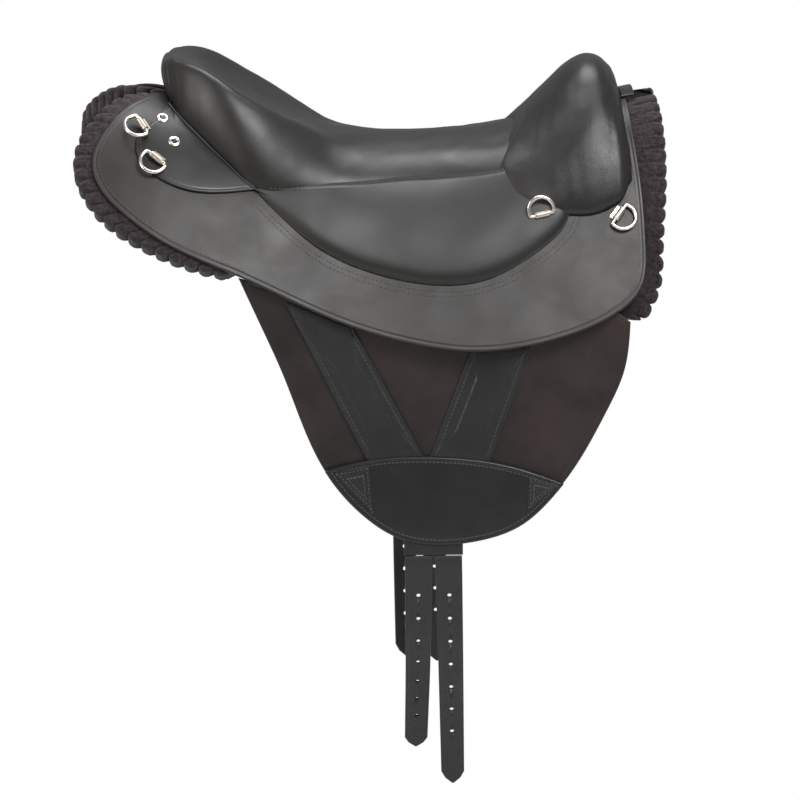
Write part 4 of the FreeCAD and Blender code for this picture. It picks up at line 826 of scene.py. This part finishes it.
def pommel_shape():
    """Pommel swell: two arcs up each flank to a rounded crest, rolled under at the base.

    Its rear edge is slanted: each line along the swell starts at its own station, puffs up
    over the seat by a quarter-round, then follows the table of stations. Folds are narrow
    ridges that fan out over the rear shoulder and the front.
    """
    turn = np.linspace(0.0, 0.5 * math.pi, 16)[:-1]
    end_turn = np.linspace(0.0, 0.5 * math.pi, 10)[1:]
    columns = ROLL_LINES + FLANK_LINES + CREST_LINES + 1
    start = averaged(np.interp(np.linspace(0.0, 1.0, columns), REAR_SHARES, REAR_STATIONS), 12)
    pinch = np.r_[
        0.95 * POMMEL_LIP * (1.0 - np.sin(turn)), np.zeros(POMMEL_STATIONS), 9.0 * (1.0 - np.cos(end_turn))
    ]
    lines = []
    for k, first in enumerate(start):
        lip = first + POMMEL_LIP * (1.0 - np.cos(turn))
        along = np.linspace(first + POMMEL_LIP, POMMEL_FRONT, POMMEL_STATIONS)
        x = np.r_[lip, along, POMMEL_FRONT + POMMEL_END * np.sin(end_turn)]
        y, z = pommel_section(np.maximum(x, first + 0.5 * POMMEL_LIP), pinch)
        lines.append(np.stack([x, y[:, k], z[:, k]], -1))
    lines = np.stack(lines)
    lines[..., 1:] = averaged(lines[..., 1:], 14)
    points = lines.transpose(1, 0, 2)
    points[:, -2:, 2] = points[:, -3:-2, 2]
    low_z = points[:, ROLL_LINES, 2].copy()
    points = np.concatenate([points, mirrored(points[:, -2::-1])], axis=1)
    full_x, full_y, full_z = points[..., 0], points[..., 1], points[..., 2]
    soft = waves(points, 55.0, 31)
    rear_zone = climb((205.0 - full_x) / 50.0) * climb((full_z - 55.0) / 25.0)
    front_zone = climb((full_x - 238.0) / 22.0) * climb((full_z - 20.0) / 30.0)
    rear_folds = np.abs(np.sin(full_z / 8.5 + 0.10 * full_x + 1.5 * soft)) ** 0.5 - 0.7
    front_folds = np.abs(np.sin(full_z / 7.0 - 0.04 * full_y + 1.8 * soft)) ** 0.5 - 0.7
    swell = 0.28 * soft + 0.10 * waves(points, 20.0, 32)
    swell += 0.5 * rear_folds * rear_zone + 0.7 * front_folds * front_zone
    rise = np.clip(full_z - 10.0, 0.0, None) / 120.0 + 0.2
    away = unit(np.stack([0.25 * (full_x - 205.0) / 60.0, full_y / 130.0, rise], -1))
    hold = climb((full_z - low_z[:, None]) / 14.0) * climb((full_x - start[0] + 10.0) / 20.0)
    return sealed(points + away * (swell * hold)[..., None])


pommel = put("pommel_leather", pommel_shape(), hide["pommel"], "saddle")
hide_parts("pommel_cover", "pommel_foam")

# Side panels, sewn to the skirts along an arc.

PANEL_ARC = [
    (-110.0, 70.0), (-79.0, 102.0), (-38.0, 132.0), (12.0, 151.0), (73.0, 162.0),
    (124.0, 156.0), (166.0, 134.0), (194.0, 112.0), (206.0, 94.0), (208.0, 72.0),
]
PANEL_EDGE = 0.95
PANEL_LOW = SKIRT_TOP + 0.2
PANEL_REAR, PANEL_LONG = -112.0, 302.0
UNDER_SEAT = 7.0
FIRM_LIFT, SOFT_LIFT = 4.6, 3.0
panel_arc = through(PANEL_ARC, 2.0)


def side_panel_shape():
    """Padded panel: rows that run from under the seat to the sewn arc.

    Height over the skirt is a share of the padding that grows as one less the falling
    exponential of the distance from the arc, and the last two millimetres are rolled over.
    """
    share = np.linspace(0.0, 1.0, len(panel_arc))
    seam_x = PANEL_REAR + PANEL_LONG * share
    half = eased(SEAT, np.clip(seam_x, SEAT[0, 0], SEAT_FRONT))[:, 0]
    radius = back_values(seam_x)[1]
    run = radius * np.arcsin(np.minimum(half / (radius + SEAT_LOW), 0.95)) - UNDER_SEAT
    seam = np.stack([seam_x, fall_of(back(seam_x, run, 4.0))], -1)
    way = unit(panel_arc - seam)
    far = np.linalg.norm(panel_arc - seam, axis=1)[:, None]
    reach = np.linspace(0.0, 1.0, 60) ** 0.62 * (far - 2.0 * PANEL_EDGE)
    inset = far - reach - 2.0 * PANEL_EDGE
    ends = climb((panel_arc[:, 0] + 116.0) / 60.0) * climb((1.02 - share) / 0.12)
    lift = FIRM_LIFT * (1.0 - np.exp(-inset / 5.0)) + SOFT_LIFT * (1.0 - np.exp(-inset / 30.0))
    height = PANEL_LOW + 2.0 * PANEL_EDGE + lift * (0.25 + 0.75 * ends)[:, None]
    turn = np.linspace(0.0, math.pi, 9)[1:]
    edge_reach = far - 1.0 + np.sin(turn) - 0.9 * (1.0 - np.sin(turn))
    edge_height = PANEL_LOW + PANEL_EDGE + PANEL_EDGE * np.cos(turn) + 0.0 * far
    back_reach = np.linspace(0.96, 0.0, 10) * far
    reach = np.hstack([reach, edge_reach, back_reach])
    height = np.hstack([height, edge_height, np.full(back_reach.shape, PANEL_LOW)])
    spots = seam[:, None, :] + way[:, None, :] * reach[..., None]
    points = on_side(spots[..., 0], spots[..., 1], height)
    return sealed(points + np.array([0.0, -0.8, 0.6]) * (0.3 * waves(points, 70.0, 41))[..., None])


panel_shape = side_panel_shape()
pair("side_panel_leather", panel_shape, hide["panel"], "saddle", "side_panel")

# Cantle patches over the skirts, and the binding over the front of the spine.

PATCH_EDGE = [
    (-199.0, -43.0), (-218.0, -9.0), (-231.0, 4.0), (-234.0, 34.0),
    (-216.0, 57.0), (-180.0, 72.0), (-114.0, 66.0),
]
PATCH_CENTRE = (-190.0, 22.0)
patch_edge = through(PATCH_EDGE, 2.0)
under_seat_edge = np.vstack([
    np.linspace((-114.0, 66.0), (-114.0, 40.0), 10),
    np.linspace((-116.0, 37.0), (-150.0, -5.0), 20),
    np.linspace((-152.0, -7.0), (-180.0, -42.0), 18),
])
patch_outline = joined(patch_edge, under_seat_edge)
patch_shape = leather_sheet(
    patch_outline, PATCH_CENTRE, PATCH_LOW, PATCH_TOP - PATCH_LOW, on_side,
    corner=1.4, creases=((3.6, 0.35, 0.6),), inner=16,
)
pair("cantle_patch_leather", patch_shape, hide["patch"], "saddle", "cantle_patch")

binding_outline = polygon([(267.0, -24.0), (281.0, -24.0), (281.0, 24.0), (267.0, 24.0)], 1.5)
binding_shape = leather_sheet(
    binding_outline, (274.0, 0.0), PATCH_LOW, 2.4, back, corner=1.2, creases=((3.0, 0.3, 0.6),), inner=8
)
binding = put("front_binding_leather", binding_shape, hide["patch"], "saddle")
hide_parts("front_binding")

# Hanging flaps: a plane that leans out from its hinge, and what is sewn on it. A place on
# the plane is a station and a height up from the hinge.

FLAP_LEAN = math.radians(8.0)
FLAP_Y, FLAP_Z = -158.461, -95.0
FLAP_THICK = 3.5
ON_FLAP = 3.8
STRAP_THICK = 3.0
GIRTH_LOW, GIRTH_THICK = 3.6, 5.8
CORNER_LOW, CORNER_THICK = 9.2, 1.3

FLAP_EDGE = [
    (-132.0, 27.0), (-108.0, -26.0), (-87.0, -74.0), (-66.0, -130.0), (-46.5, -171.0),
    (-3.0, -222.0), (31.0, -243.0), (72.0, -250.0), (113.0, -246.0), (155.0, -231.0),
    (185.0, -205.0), (216.0, -164.0), (242.0, -117.0), (262.0, -71.0), (268.0, -22.0),
]
FLAP_TOP = [
    (268.0, -22.0), (250.0, -9.0), (194.0, -15.0), (107.0, -27.0), (32.0, -17.0), (-39.0, 1.0), (-132.0, 27.0),
]
STRAPS = {
    "rear_rigging_strap": [(-89.0, 10.0), (-18.0, -20.0), (59.0, -163.0), (3.0, -172.0)],
    "front_rigging_strap": [(107.0, -42.0), (168.0, -42.0), (121.0, -173.0), (60.5, -163.0)],
}
GIRTH_TOP = [
    (-80.0, -183.0), (-45.0, -171.0), (6.0, -160.0), (62.0, -158.0),
    (134.0, -166.0), (198.0, -187.0), (240.0, -206.0),
]
GIRTH_CENTRE = (72.0, -200.0)
CORNERS = {
    "rear_corner": [(-37.0, -173.5), (0.0, -166.0), (4.0, -217.0)],
    "front_corner": [(195.0, -188.0), (163.0, -180.0), (162.0, -215.0)],
}
YOKE = [(35.25, -176.0), (95.75, -176.0), (95.75, -260.6), (35.25, -260.6)]


def flap_place(x, up, height):
    """Flap points: a plane leaning out from its hinge, height measured outwards."""
    return np.stack([
        x + 0.0 * up,
        FLAP_Y + up * math.sin(FLAP_LEAN) - height * math.cos(FLAP_LEAN),
        FLAP_Z + up * math.cos(FLAP_LEAN) + height * math.sin(FLAP_LEAN),
    ], -1)


def flap_hide(x, up, height):
    """Flap points with a slow waviness of the hide, calm at the hinge."""
    points = flap_place(x, up, height)
    calm = climb((-20.0 - up) / 60.0)
    return points + np.array([0.0, -1.0, 0.0]) * (0.35 * waves(points, 120.0, 51) * calm)[..., None]


def strap_crown(x, inset):
    """Strap padding: rounded over from its stitched edges by a falling exponential."""
    return 1.1 * (1.0 - np.exp(-np.maximum(inset - 4.0, 0.0) / 5.0))


def girth_crown(x, inset):
    """Girth patch: swollen by a bell over the straps and the yoke beneath."""
    over = np.exp(-(((x - 66.0) / 60.0) ** 2))
    return 0.9 * over * (1.0 - np.exp(-np.maximum(inset - 3.0, 0.0) / 9.0))


flap_edge = through(FLAP_EDGE, 2.4)
flap_shape = leather_sheet(
    joined(flap_edge, through(FLAP_TOP, 2.4)), (72.0, -110.0), 0.0, FLAP_THICK, flap_hide,
    corner=1.5, creases=((4.2, 0.4, 0.7),), inner=30,
)
pair("sweat_flap_leather", flap_shape, hide["flap"], "flap", "sweat_flap")

for node, corners in STRAPS.items():
    strap_shape = leather_sheet(
        polygon(corners, 2.0), np.mean(corners, axis=0), ON_FLAP, STRAP_THICK, flap_place,
        corner=1.3, creases=((3.6, 0.55, 0.7),), crown=strap_crown,
    )
    pair(node + "_leather", strap_shape, hide["strap"], "flap", node)

# The girth patch takes the flap's own edge below its curved top line.

girth_top = through(GIRTH_TOP, 2.0)
below = flap_edge[flap_edge[:, 1] < np.interp(flap_edge[:, 0], girth_top[:, 0], girth_top[:, 1])]
inside = (girth_top[:, 0] > below[0, 0]) & (girth_top[:, 0] < below[-1, 0])
girth_outline = np.vstack([below, girth_top[inside][::-1]])
girth_shape = leather_sheet(
    girth_outline, GIRTH_CENTRE, GIRTH_LOW, GIRTH_THICK, flap_place,
    corner=2.0, creases=((4.0, 0.4, 0.7),), crown=girth_crown, inner=18,
)
pair("girth_patch_leather", girth_shape, hide["patch"], "flap", "girth_patch")

# Stitched corner pieces at both ends of the girth patch, and the yoke inside it.

corner_rows = []
for name, corners in CORNERS.items():
    outline = polygon(corners, 1.8)
    centre = np.mean(corners, axis=0)
    shape = leather_sheet(outline, centre, CORNER_LOW, CORNER_THICK, flap_place, corner=0.6, inner=8)
    pair(name + "_leather", shape, hide["strap"], "flap")
    corner_rows.append(row_on(flap_place, inset_track(outline, 2.6, centre), CORNER_LOW + CORNER_THICK - 0.05))

yoke_shape = leather_sheet(
    polygon(YOKE, 1.5), (65.5, -215.0), ON_FLAP, STRAP_THICK, flap_place, corner=1.2, inner=10
)
pair("billet_yoke_leather", yoke_shape, hide["strap"], "flap", "billet_yoke")

# Billets: name, station of the middle, length below the hinge, bend in degrees, forward lean.

BILLETS = (
    ("rear_billet", 50.0, 242.0, 26.0, 0.0),
    ("front_billet", 81.0, 254.0, 5.0, 6.0),
)
HINGE = flap_place(np.array(0.0), np.array(-263.0), np.array(5.3))
BILLET_THICK = 3.5
BILLET_STRAIGHT = 55.0
BENT_SHARE = 0.42
BILLET_HALF, TIP_HALF = 13.75, 12.0
TAPER_START, TIP_LONG = 20.0, 14.0
HOLES, HOLE_SIDES = 7, 24
FIRST_HOLE, HOLE_PITCH, HOLE_RADIUS = 41.0, 25.4, 2.2
TOOL_REACH = 6.0


def billet_place(middle_x, long, bend, lean):
    """Placing of a billet: straight down, then along an arc, then straight at the bend."""
    angle = math.radians(bend)
    bent = BENT_SHARE * long
    radius = bent / angle

    def place(across, down, height):
        turn = np.clip((down - BILLET_STRAIGHT) / radius, 0.0, angle)
        rest = np.maximum(down - BILLET_STRAIGHT - bent, 0.0)
        inward = radius * (1.0 - np.cos(turn)) + rest * np.sin(turn)
        drop = np.minimum(down, BILLET_STRAIGHT) + radius * np.sin(turn) + rest * np.cos(turn)
        x = middle_x + across + lean * np.clip(down, 0.0, None) / long
        y = HINGE[1] + inward - height * np.cos(turn)
        z = HINGE[2] - drop - height * np.sin(turn)
        return np.stack([x, y, z], -1)

    return place


def flat_place(across, down, height):
    """The strip laid flat, so that its holes are cut round."""
    return np.stack([across, down, height], -1)


def billet_outline(long):
    """Strip that narrows to a blunt point."""
    half = [
        (BILLET_HALF, -1.7), (BILLET_HALF, TAPER_START), (TIP_HALF, long - TIP_LONG),
        (8.0, long - 6.5), (1.0, long - 0.4),
    ]
    return polygon([(-x, down) for x, down in half] + half[::-1], 1.6)


def hole_tool():
    """Seven round cutters in a row, each a prism of 24 sides."""
    turn = np.linspace(0.0, 2.0 * math.pi, HOLE_SIDES + 1)[:-1]
    points, quads = [], []
    for k in range(HOLES):
        down = FIRST_HOLE + HOLE_PITCH * k
        circle = np.stack([HOLE_RADIUS * np.cos(turn), down + HOLE_RADIUS * np.sin(turn)], -1)
        for depth in (-TOOL_REACH, TOOL_REACH):
            points.append(np.c_[circle, np.full(HOLE_SIDES, depth)])
        quads += (net(2, HOLE_SIDES) + 2 * HOLE_SIDES * k).tolist()
    lids = np.arange(2 * HOLES * HOLE_SIDES).reshape(-1, HOLE_SIDES).tolist()
    lids = [lid[::-1] for lid in lids[0::2]] + lids[1::2]
    mesh = bpy.data.meshes.new("hole_tool")
    mesh.from_pydata((np.vstack(points) * 0.001).tolist(), [], quads + lids)
    return shown("hole_tool", mesh)


def punch(strip):
    """Row of holes cut through a strip, which keeps a plain mesh."""
    tool = hole_tool()
    cut = strip.modifiers.new("holes", "BOOLEAN")
    cut.operation = "DIFFERENCE"
    cut.solver = "EXACT"
    cut.object = tool
    bpy.context.view_layer.update()
    mesh = bpy.data.meshes.new_from_object(strip.evaluated_get(bpy.context.evaluated_depsgraph_get()))
    strip.modifiers.clear()
    strip.data = mesh
    bpy.data.objects.remove(tool)


def hang(mesh, place, hand):
    """Corners moved from the flat strip to the hanging one, faces turned outwards again."""
    spots = np.zeros(len(mesh.vertices) * 3)
    mesh.vertices.foreach_get("co", spots)
    flat = spots.reshape(-1, 3) * 1000.0
    spots = place(*flat.T) * np.array([1.0, hand, 1.0])
    mesh.vertices.foreach_set("co", (spots * 0.001).ravel())
    mesh.update()
    mesh.polygons.foreach_set("use_smooth", np.ones(len(mesh.polygons), bool))
    shell = bmesh.new()
    shell.from_mesh(mesh)
    bmesh.ops.recalc_face_normals(shell, faces=shell.faces)
    shell.to_mesh(mesh)
    shell.free()


for name, middle_x, long, bend, lean in BILLETS:
    place = billet_place(middle_x, long, bend, lean)
    flat_shape = leather_sheet(
        billet_outline(long), (0.0, 0.5 * long), -0.5 * BILLET_THICK, BILLET_THICK, flat_place,
        corner=1.3, creases=((3.4, 0.35, 0.6),), inner=6,
    )
    for side, hand in (("right", 1.0), ("left", -1.0)):
        strip = put("%s_leather_%s" % (name, side), flat_shape, hide["strap"], None)
        punch(strip)
        hang(strip.data, place, hand)
        node = "%s_%s" % (name, side)
        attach(strip, node)
        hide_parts(node)

# Rings, clips and eyelets. A ring's row: station, fall, height of the leather, turn and lift
# in degrees; its bar lies RING_SEAT over the leather.

RINGS = {
    "rear_upper": (-229.0, 0.0, PATCH_TOP, 124.0, 4.0),
    "rear_lower": (-214.0, 40.0, PATCH_TOP, 147.0, 0.0),
    "front_upper": (179.0, 94.0, SKIRT_TOP + 5.0, 0.0, 24.0),
    "front_lower": (258.0, 92.0, SKIRT_TOP, -137.0, 0.0),
}
RING_SEAT = 4.1
RING_REACH, RING_LEG, RING_EASE, RING_WIRE = 13.0, 5.0, 2.6, 2.0
CLIP_OUTSIDE, CLIP_INSIDE = 3.5, 2.3
TAB_HALF, TAB_START, TAB_LOW, TAB_HIGH = 7.2, 1.5, -3.9, -2.7
CLIP_TAB, SHORT_TAB = 4.0, 1.5
EYELETS = ((-208.0, -13.0), (-196.0, 16.5))
EYELET_SIDES = 48

# Profile of an eyelet's rim: radius, height over the patch.

EYELET = np.array([
    (2.8, -2.9), (2.8, 0.2), (3.2, 0.9), (4.0, 1.25), (5.0, 1.2),
    (6.0, 0.8), (6.5, 0.2), (6.4, 0.0), (3.7, 0.0), (3.6, -2.9),
])


def turned(first, second, degrees):
    """Two square directions turned in their own plane."""
    c, s = math.cos(math.radians(degrees)), math.sin(math.radians(degrees))
    return first * c + second * s, second * c - first * s


def frame_on(x, fall, leather_height, over, turn, lift):
    """Axes on the leather: towards the head, up the slope and outwards, turned and lifted."""
    run = run_at(x, fall, leather_height, FLARE)
    height = leather_height + over
    spot = back(x, run, height)
    ahead = back(x + 1.0, run, height) - back(x - 1.0, run, height)
    upward = back(x, run - 1.0, height) - back(x, run + 1.0, height)
    outward = unit(np.cross(ahead, upward))
    ahead = unit(ahead)
    upward = np.cross(outward, ahead)
    ahead, upward = turned(ahead, upward, turn)
    upward, outward = turned(upward, outward, lift)
    return spot, np.stack([ahead, upward, outward])


def ring_shape():
    """Dee ring: a round wire along a bar, two legs and a half circle, corners eased."""
    bow = np.linspace(0.0, math.pi, 49)
    corner = np.linspace(0.0, 0.5 * math.pi, 8)
    long_side, short_side = RING_EASE * (1.0 - np.cos(corner)), RING_EASE * (1.0 - np.sin(corner))
    track = np.vstack([
        np.stack([RING_REACH * np.cos(bow), RING_LEG + RING_REACH * np.sin(bow)], -1),
        np.stack([long_side - RING_REACH, short_side], -1),
        np.stack([RING_REACH - short_side, long_side], -1),
    ])
    ahead = unit(np.roll(track, -1, axis=0) - np.roll(track, 1, axis=0))
    side = np.stack([ahead[:, 1], -ahead[:, 0]], -1)
    turn = np.linspace(0.0, 2.0 * math.pi, 17)[:-1]
    flat = track[:, None, :] + side[:, None, :] * (RING_WIRE * np.cos(turn))[None, :, None]
    high = np.broadcast_to(RING_WIRE * np.sin(turn), flat.shape[:2])
    return tube(np.dstack([flat, high]))


def clip_shape(tab):
    """Folded metal clip: a strip bent round the bar in a circle arc, and a flat tab behind it."""
    wrap = np.linspace(math.radians(-80.0), math.radians(205.0), 26)
    outer, inner = [size * np.stack([-np.sin(wrap), np.cos(wrap)], -1) for size in (CLIP_OUTSIDE, CLIP_INSIDE)]
    profile = np.vstack([outer, inner[::-1]])
    along = np.array([-7.5, -7.2, -6.0, 6.0, 7.2, 7.5])
    ease = np.array([0.90, 0.97, 1.0, 1.0, 0.97, 0.90])
    grid = np.stack([
        np.repeat(along[:, None], len(profile), axis=1),
        profile[None, :, 0] * ease[:, None],
        profile[None, :, 1] * ease[:, None],
    ], -1)
    rows, columns = grid.shape[:2]
    k = np.arange(len(wrap) - 1)
    ends = np.vstack([
        np.stack([k + 1, k, columns - 1 - k, columns - 2 - k], -1),
        (rows - 1) * columns + np.stack([k, k + 1, columns - 2 - k, columns - 1 - k], -1),
    ])
    far = -TAB_START - 1.1 - tab
    tab_side = ((-TAB_START, TAB_LOW), (far, TAB_LOW), (far, TAB_HIGH), (-TAB_START, TAB_HIGH))
    tab_points = np.array([(x, y, z) for x in (-TAB_HALF, TAB_HALF) for y, z in tab_side])
    box = np.array([(0, 1, 2, 3), (7, 6, 5, 4), (0, 4, 5, 1), (1, 5, 6, 2), (2, 6, 7, 3), (3, 7, 4, 0)])
    points = np.vstack([grid.reshape(-1, 3), tab_points])
    return points, np.vstack([net(rows, columns), ends, box + rows * columns])


def eyelet_shape():
    """Rim of an eyelet: its profile turned round its axis."""
    turn = np.linspace(0.0, 2.0 * math.pi, EYELET_SIDES + 1)[:-1]
    return tube(np.stack([
        EYELET[:, 0:1] * np.cos(turn),
        EYELET[:, 0:1] * np.sin(turn),
        np.repeat(EYELET[:, 1:2], EYELET_SIDES, axis=1),
    ], -1))


ring_points, ring_quads = ring_shape()
for name, (x, fall, height, turn, lift) in RINGS.items():
    spot, axes = frame_on(x, fall, height, RING_SEAT, turn, lift)
    ring = spot + ring_points @ axes
    for side, spots in (("right", ring), ("left", mirrored(ring))):
        node = "%s_ring_%s" % (name, side)
        piece = put("%s_wire_%s" % (name, side), (spots, ring_quads, NO_CAPS), nickel, node)
        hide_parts(node)

# The clip of the front upper ring lies above its bar and has the shorter tab.

for end in ("rear", "front"):
    blocks = []
    for name in (end + "_upper", end + "_lower"):
        x, fall, height, turn, _ = RINGS[name]
        above = name == "front_upper"
        spot, axes = frame_on(x, fall, height, RING_SEAT, turn + (180.0 if above else 0.0), 0.0)
        clip_points, clip_quads = clip_shape(SHORT_TAB if above else CLIP_TAB)
        blocks += both_hands(spot + clip_points @ axes, clip_quads)
    clips = put("%s_clips_metal" % end, gathered(blocks), clip_metal, "saddle", smooth=False)
    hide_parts("%s_ring_clips" % end)

rim_points, rim_quads = eyelet_shape()
blocks = []
for x, fall in EYELETS:
    spot, axes = frame_on(x, fall, PATCH_TOP, 0.0, 0.0, 0.0)
    blocks += both_hands(spot + rim_points @ axes, rim_quads)
eyelets = put("eyelet_rims", gathered(blocks), nickel, "saddle")
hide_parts("cantle_eyelets")

# Welt round the seat's foot.

seat_line_x = np.linspace(SEAT_REAR, 150.0, 240)
seat_half = eased(SEAT, seat_line_x)[:, 0]
seat_foot = crown_height(seat_line_x, seat_half[:, None])[:, 0]


def cord_round(track, radius, corners=10):
    """Round cord along a track, a circle carried square to it, closed at both ends."""
    ahead = unit(np.gradient(track, axis=0))
    side = unit(np.cross(ahead, np.array([0.0, 0.0, 1.0])))
    up = np.cross(side, ahead)
    turn = np.arange(corners) * 2.0 * math.pi / corners
    ease = np.ones(len(track))
    ease[0] = ease[-1] = 0.5
    circle = side[:, None] * np.cos(turn)[None, :, None] + up[:, None] * np.sin(turn)[None, :, None]
    return sealed(track[:, None] + circle * (radius * ease)[:, None, None])


welt_track = np.stack([seat_line_x, -(seat_half + 0.6), seat_foot + 0.4], -1)
pair("seat_welt", cord_round(welt_track, 1.5), hide["patch"], "saddle")

# Stitching, at set distances from the edges. The skirts have two rows outside the side panels
# and one along the open edge.

STRAP_STITCH, PATCH_STITCH, SKIRT_STITCH, BILLET_STITCH = 5.4, 5.6, 6.8, 3.4
ARC_STITCHES = (6.5, 11.5)
SKIRT_SHARES = ((0.02, 0.34), (0.70, 0.985))

rows = []
arc = panel_arc[4:-4]
outward = away_from(np.array([55.0, 105.0]), arc, np.gradient(arc, axis=0))
for distance in ARC_STITCHES:
    rows.append(row_on(skirt_place, arc + outward * distance, SKIRT_TOP))
line = inset_track(skirt_outline, SKIRT_STITCH, SKIRT_CENTRE)
count = len(skirt_edge)
for first, last in SKIRT_SHARES:
    rows.append(row_on(skirt_place, line[int(first * count) : int(last * count)], SKIRT_TOP - 0.1))
sewn("skirt_thread", rows, "saddle")

seat_fold = np.stack([seat_line_x, -(seat_half + 0.35), seat_foot + 7.5], -1)[70:]
fold_out = np.broadcast_to([0.0, -1.0, 0.55], seat_fold.shape)
sewn("seat_thread", [(seat_fold, fold_out)], "saddle", "soft_leather")

line = inset_track(patch_outline, PATCH_STITCH, PATCH_CENTRE)[4 : len(patch_edge) - 6]
sewn("cantle_patch_thread", [row_on(on_side, line, PATCH_TOP - 0.1)], "saddle")

rows = []
for corners in STRAPS.values():
    a, b, c, d = np.array(corners)
    for start, end in ((a, d), (b, c)):
        side = np.linspace(start, end, 60)
        outward = away_from(np.mean(corners, axis=0), side, np.gradient(side, axis=0))
        rows.append(row_on(flap_place, side - outward * STRAP_STITCH, ON_FLAP + STRAP_THICK + 0.05))
sewn("strap_thread", rows, "flap", "strap_leather")

line = inset_track(girth_outline, PATCH_STITCH, GIRTH_CENTRE)
sewn("girth_patch_thread", [row_on(flap_place, line, GIRTH_LOW + GIRTH_THICK + 0.15)] + corner_rows, "flap")

for name, middle_x, long, bend, lean in BILLETS:
    place = billet_place(middle_x, long, bend, lean)
    down = np.linspace(6.0, long - 15.0, 80)
    half = np.interp(down, [0.0, TAPER_START, long - TIP_LONG], [BILLET_HALF, BILLET_HALF, TIP_HALF])
    half = half - BILLET_STITCH
    rows = [row_on(place, np.stack([hand * half, down], -1), 0.5 * BILLET_THICK - 0.2) for hand in (-1.0, 1.0)]
    sewn(name + "_thread", rows, name, "strap_leather", pitch=3.4, long=2.5, thick=0.36)

# Finishes of the pieces that keep their solids.

KEPT = {
    "tree_shell": tree_stuff,
    "gullet_plate": steel,
    "cantle_plate": steel,
    "gullet_rivets": steel,
    "cantle_rivets": steel,
    "stirrup_rivets": steel,
    "stirrup_bar_right": steel,
    "stirrup_bar_left": steel,
    "flap_web_right": hide["flap"],
    "flap_web_left": hide["flap"],
}
for node, finish in KEPT.items():
    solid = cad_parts[node]
    solid.data.materials.clear()
    solid.data.materials.append(finish)

# Light, floor and camera, in metres.

FLOOR_LOW, FLOOR_REACH = -0.72, 30.0
WORLD_LIGHT = 0.34


def seen_straight(tree):
    """One for a ray from the camera or through clear stuff, otherwise nought."""
    path = tree.nodes.new("ShaderNodeLightPath")
    seen = add(tree, "ShaderNodeMath", operation="MAXIMUM")
    tree.links.new(path.outputs["Is Camera Ray"], seen.inputs[0])
    tree.links.new(path.outputs["Is Transmission Ray"], seen.inputs[1])
    return seen.outputs[0]


def floor_finish():
    """Backdrop stuff: white to the camera, plain pale for the light."""
    finish = bpy.data.materials.new("floor_white")
    finish.use_nodes = True
    tree = finish.node_tree
    shader = tree.nodes["Principled BSDF"]
    shader.inputs["Base Color"].default_value = (0.8, 0.8, 0.8, 1.0)
    shader.inputs["Roughness"].default_value = 0.9
    glow = add(tree, "ShaderNodeEmission", Strength=1.0)
    mix = tree.nodes.new("ShaderNodeMixShader")
    tree.links.new(seen_straight(tree), mix.inputs["Fac"])
    tree.links.new(shader.outputs["BSDF"], mix.inputs[1])
    tree.links.new(glow.outputs["Emission"], mix.inputs[2])
    tree.links.new(mix.outputs["Shader"], tree.nodes["Material Output"].inputs["Surface"])
    return finish


def lamp(name, spot, aim, size, power, colour=(1.0, 1.0, 1.0)):
    """Soft box at a spot, facing its aim."""
    light = bpy.data.lights.new(name, "AREA")
    light.shape = "RECTANGLE"
    light.size, light.size_y = size
    light.energy = power
    light.color = colour
    holder = shown(name, light)
    holder.location = spot
    holder.rotation_euler = (Vector(aim) - Vector(spot)).to_track_quat("-Z", "Y").to_euler()


floor_mesh = bpy.data.meshes.new("floor")
floor_corners = [(FLOOR_REACH * x, FLOOR_REACH * y, FLOOR_LOW) for x, y in ((-1, -1), (1, -1), (1, 1), (-1, 1))]
floor_mesh.from_pydata(floor_corners, [], [(0, 1, 2, 3)])
floor_mesh.materials.append(floor_finish())
floor = shown("floor", floor_mesh)

world = bpy.data.worlds.new("studio")
bpy.context.scene.world = world
world.use_nodes = True
ground = world.node_tree.nodes["Background"]
ground.inputs["Color"].default_value = (1.0, 1.0, 1.0, 1.0)
level = spread(world.node_tree, seen_straight(world.node_tree), 0.0, 1.0, WORLD_LIGHT, 1.0)
world.node_tree.links.new(level, ground.inputs["Strength"])

lamp("key_box", (0.9, -1.5, 1.7), (0.0, 0.0, -0.1), (1.3, 0.9), 52.0)
lamp("rear_box", (-1.7, -1.1, 0.9), (-0.1, 0.0, 0.0), (0.6, 1.3), 20.0, (1.0, 0.96, 0.91))
lamp("top_box", (0.0, 0.5, 2.0), (0.0, 0.0, 0.0), (1.6, 0.8), 34.0, (0.96, 0.98, 1.0))

# The camera stands where the photograph was taken: ANCHOR shows at ANCHOR_ROW of a picture
# PICTURE pixels wide, in the middle column. FOCAL is the focal length in pixels.

AZIMUTH, ELEVATION = math.radians(-2.0), math.radians(16.0)
FAR_AWAY, FOCAL, PICTURE = 4.0, 3817.0, 800.0
ANCHOR, ANCHOR_ROW = Vector((0.038, 0.0, 0.055)), 126.0
SENSOR = 36.0

backward = Vector((
    math.sin(AZIMUTH) * math.cos(ELEVATION),
    -math.cos(AZIMUTH) * math.cos(ELEVATION),
    math.sin(ELEVATION),
))
rightward = Vector((math.cos(AZIMUTH), math.sin(AZIMUTH), 0.0))
upward = backward.cross(rightward).normalized()
spot = ANCHOR + backward * FAR_AWAY - upward * ((0.5 * PICTURE - ANCHOR_ROW) * FAR_AWAY / FOCAL)
camera_data = bpy.data.cameras.new("photo_view")
camera_data.sensor_width = SENSOR
camera_data.lens = SENSOR * FOCAL / PICTURE
camera = shown("photo_view", camera_data)
camera.matrix_world = Matrix.Translation(spot) @ Matrix((rightward, upward, backward)).transposed().to_4x4()
bpy.context.scene.camera = camera
bpy.context.scene.view_settings.view_transform = "Standard"
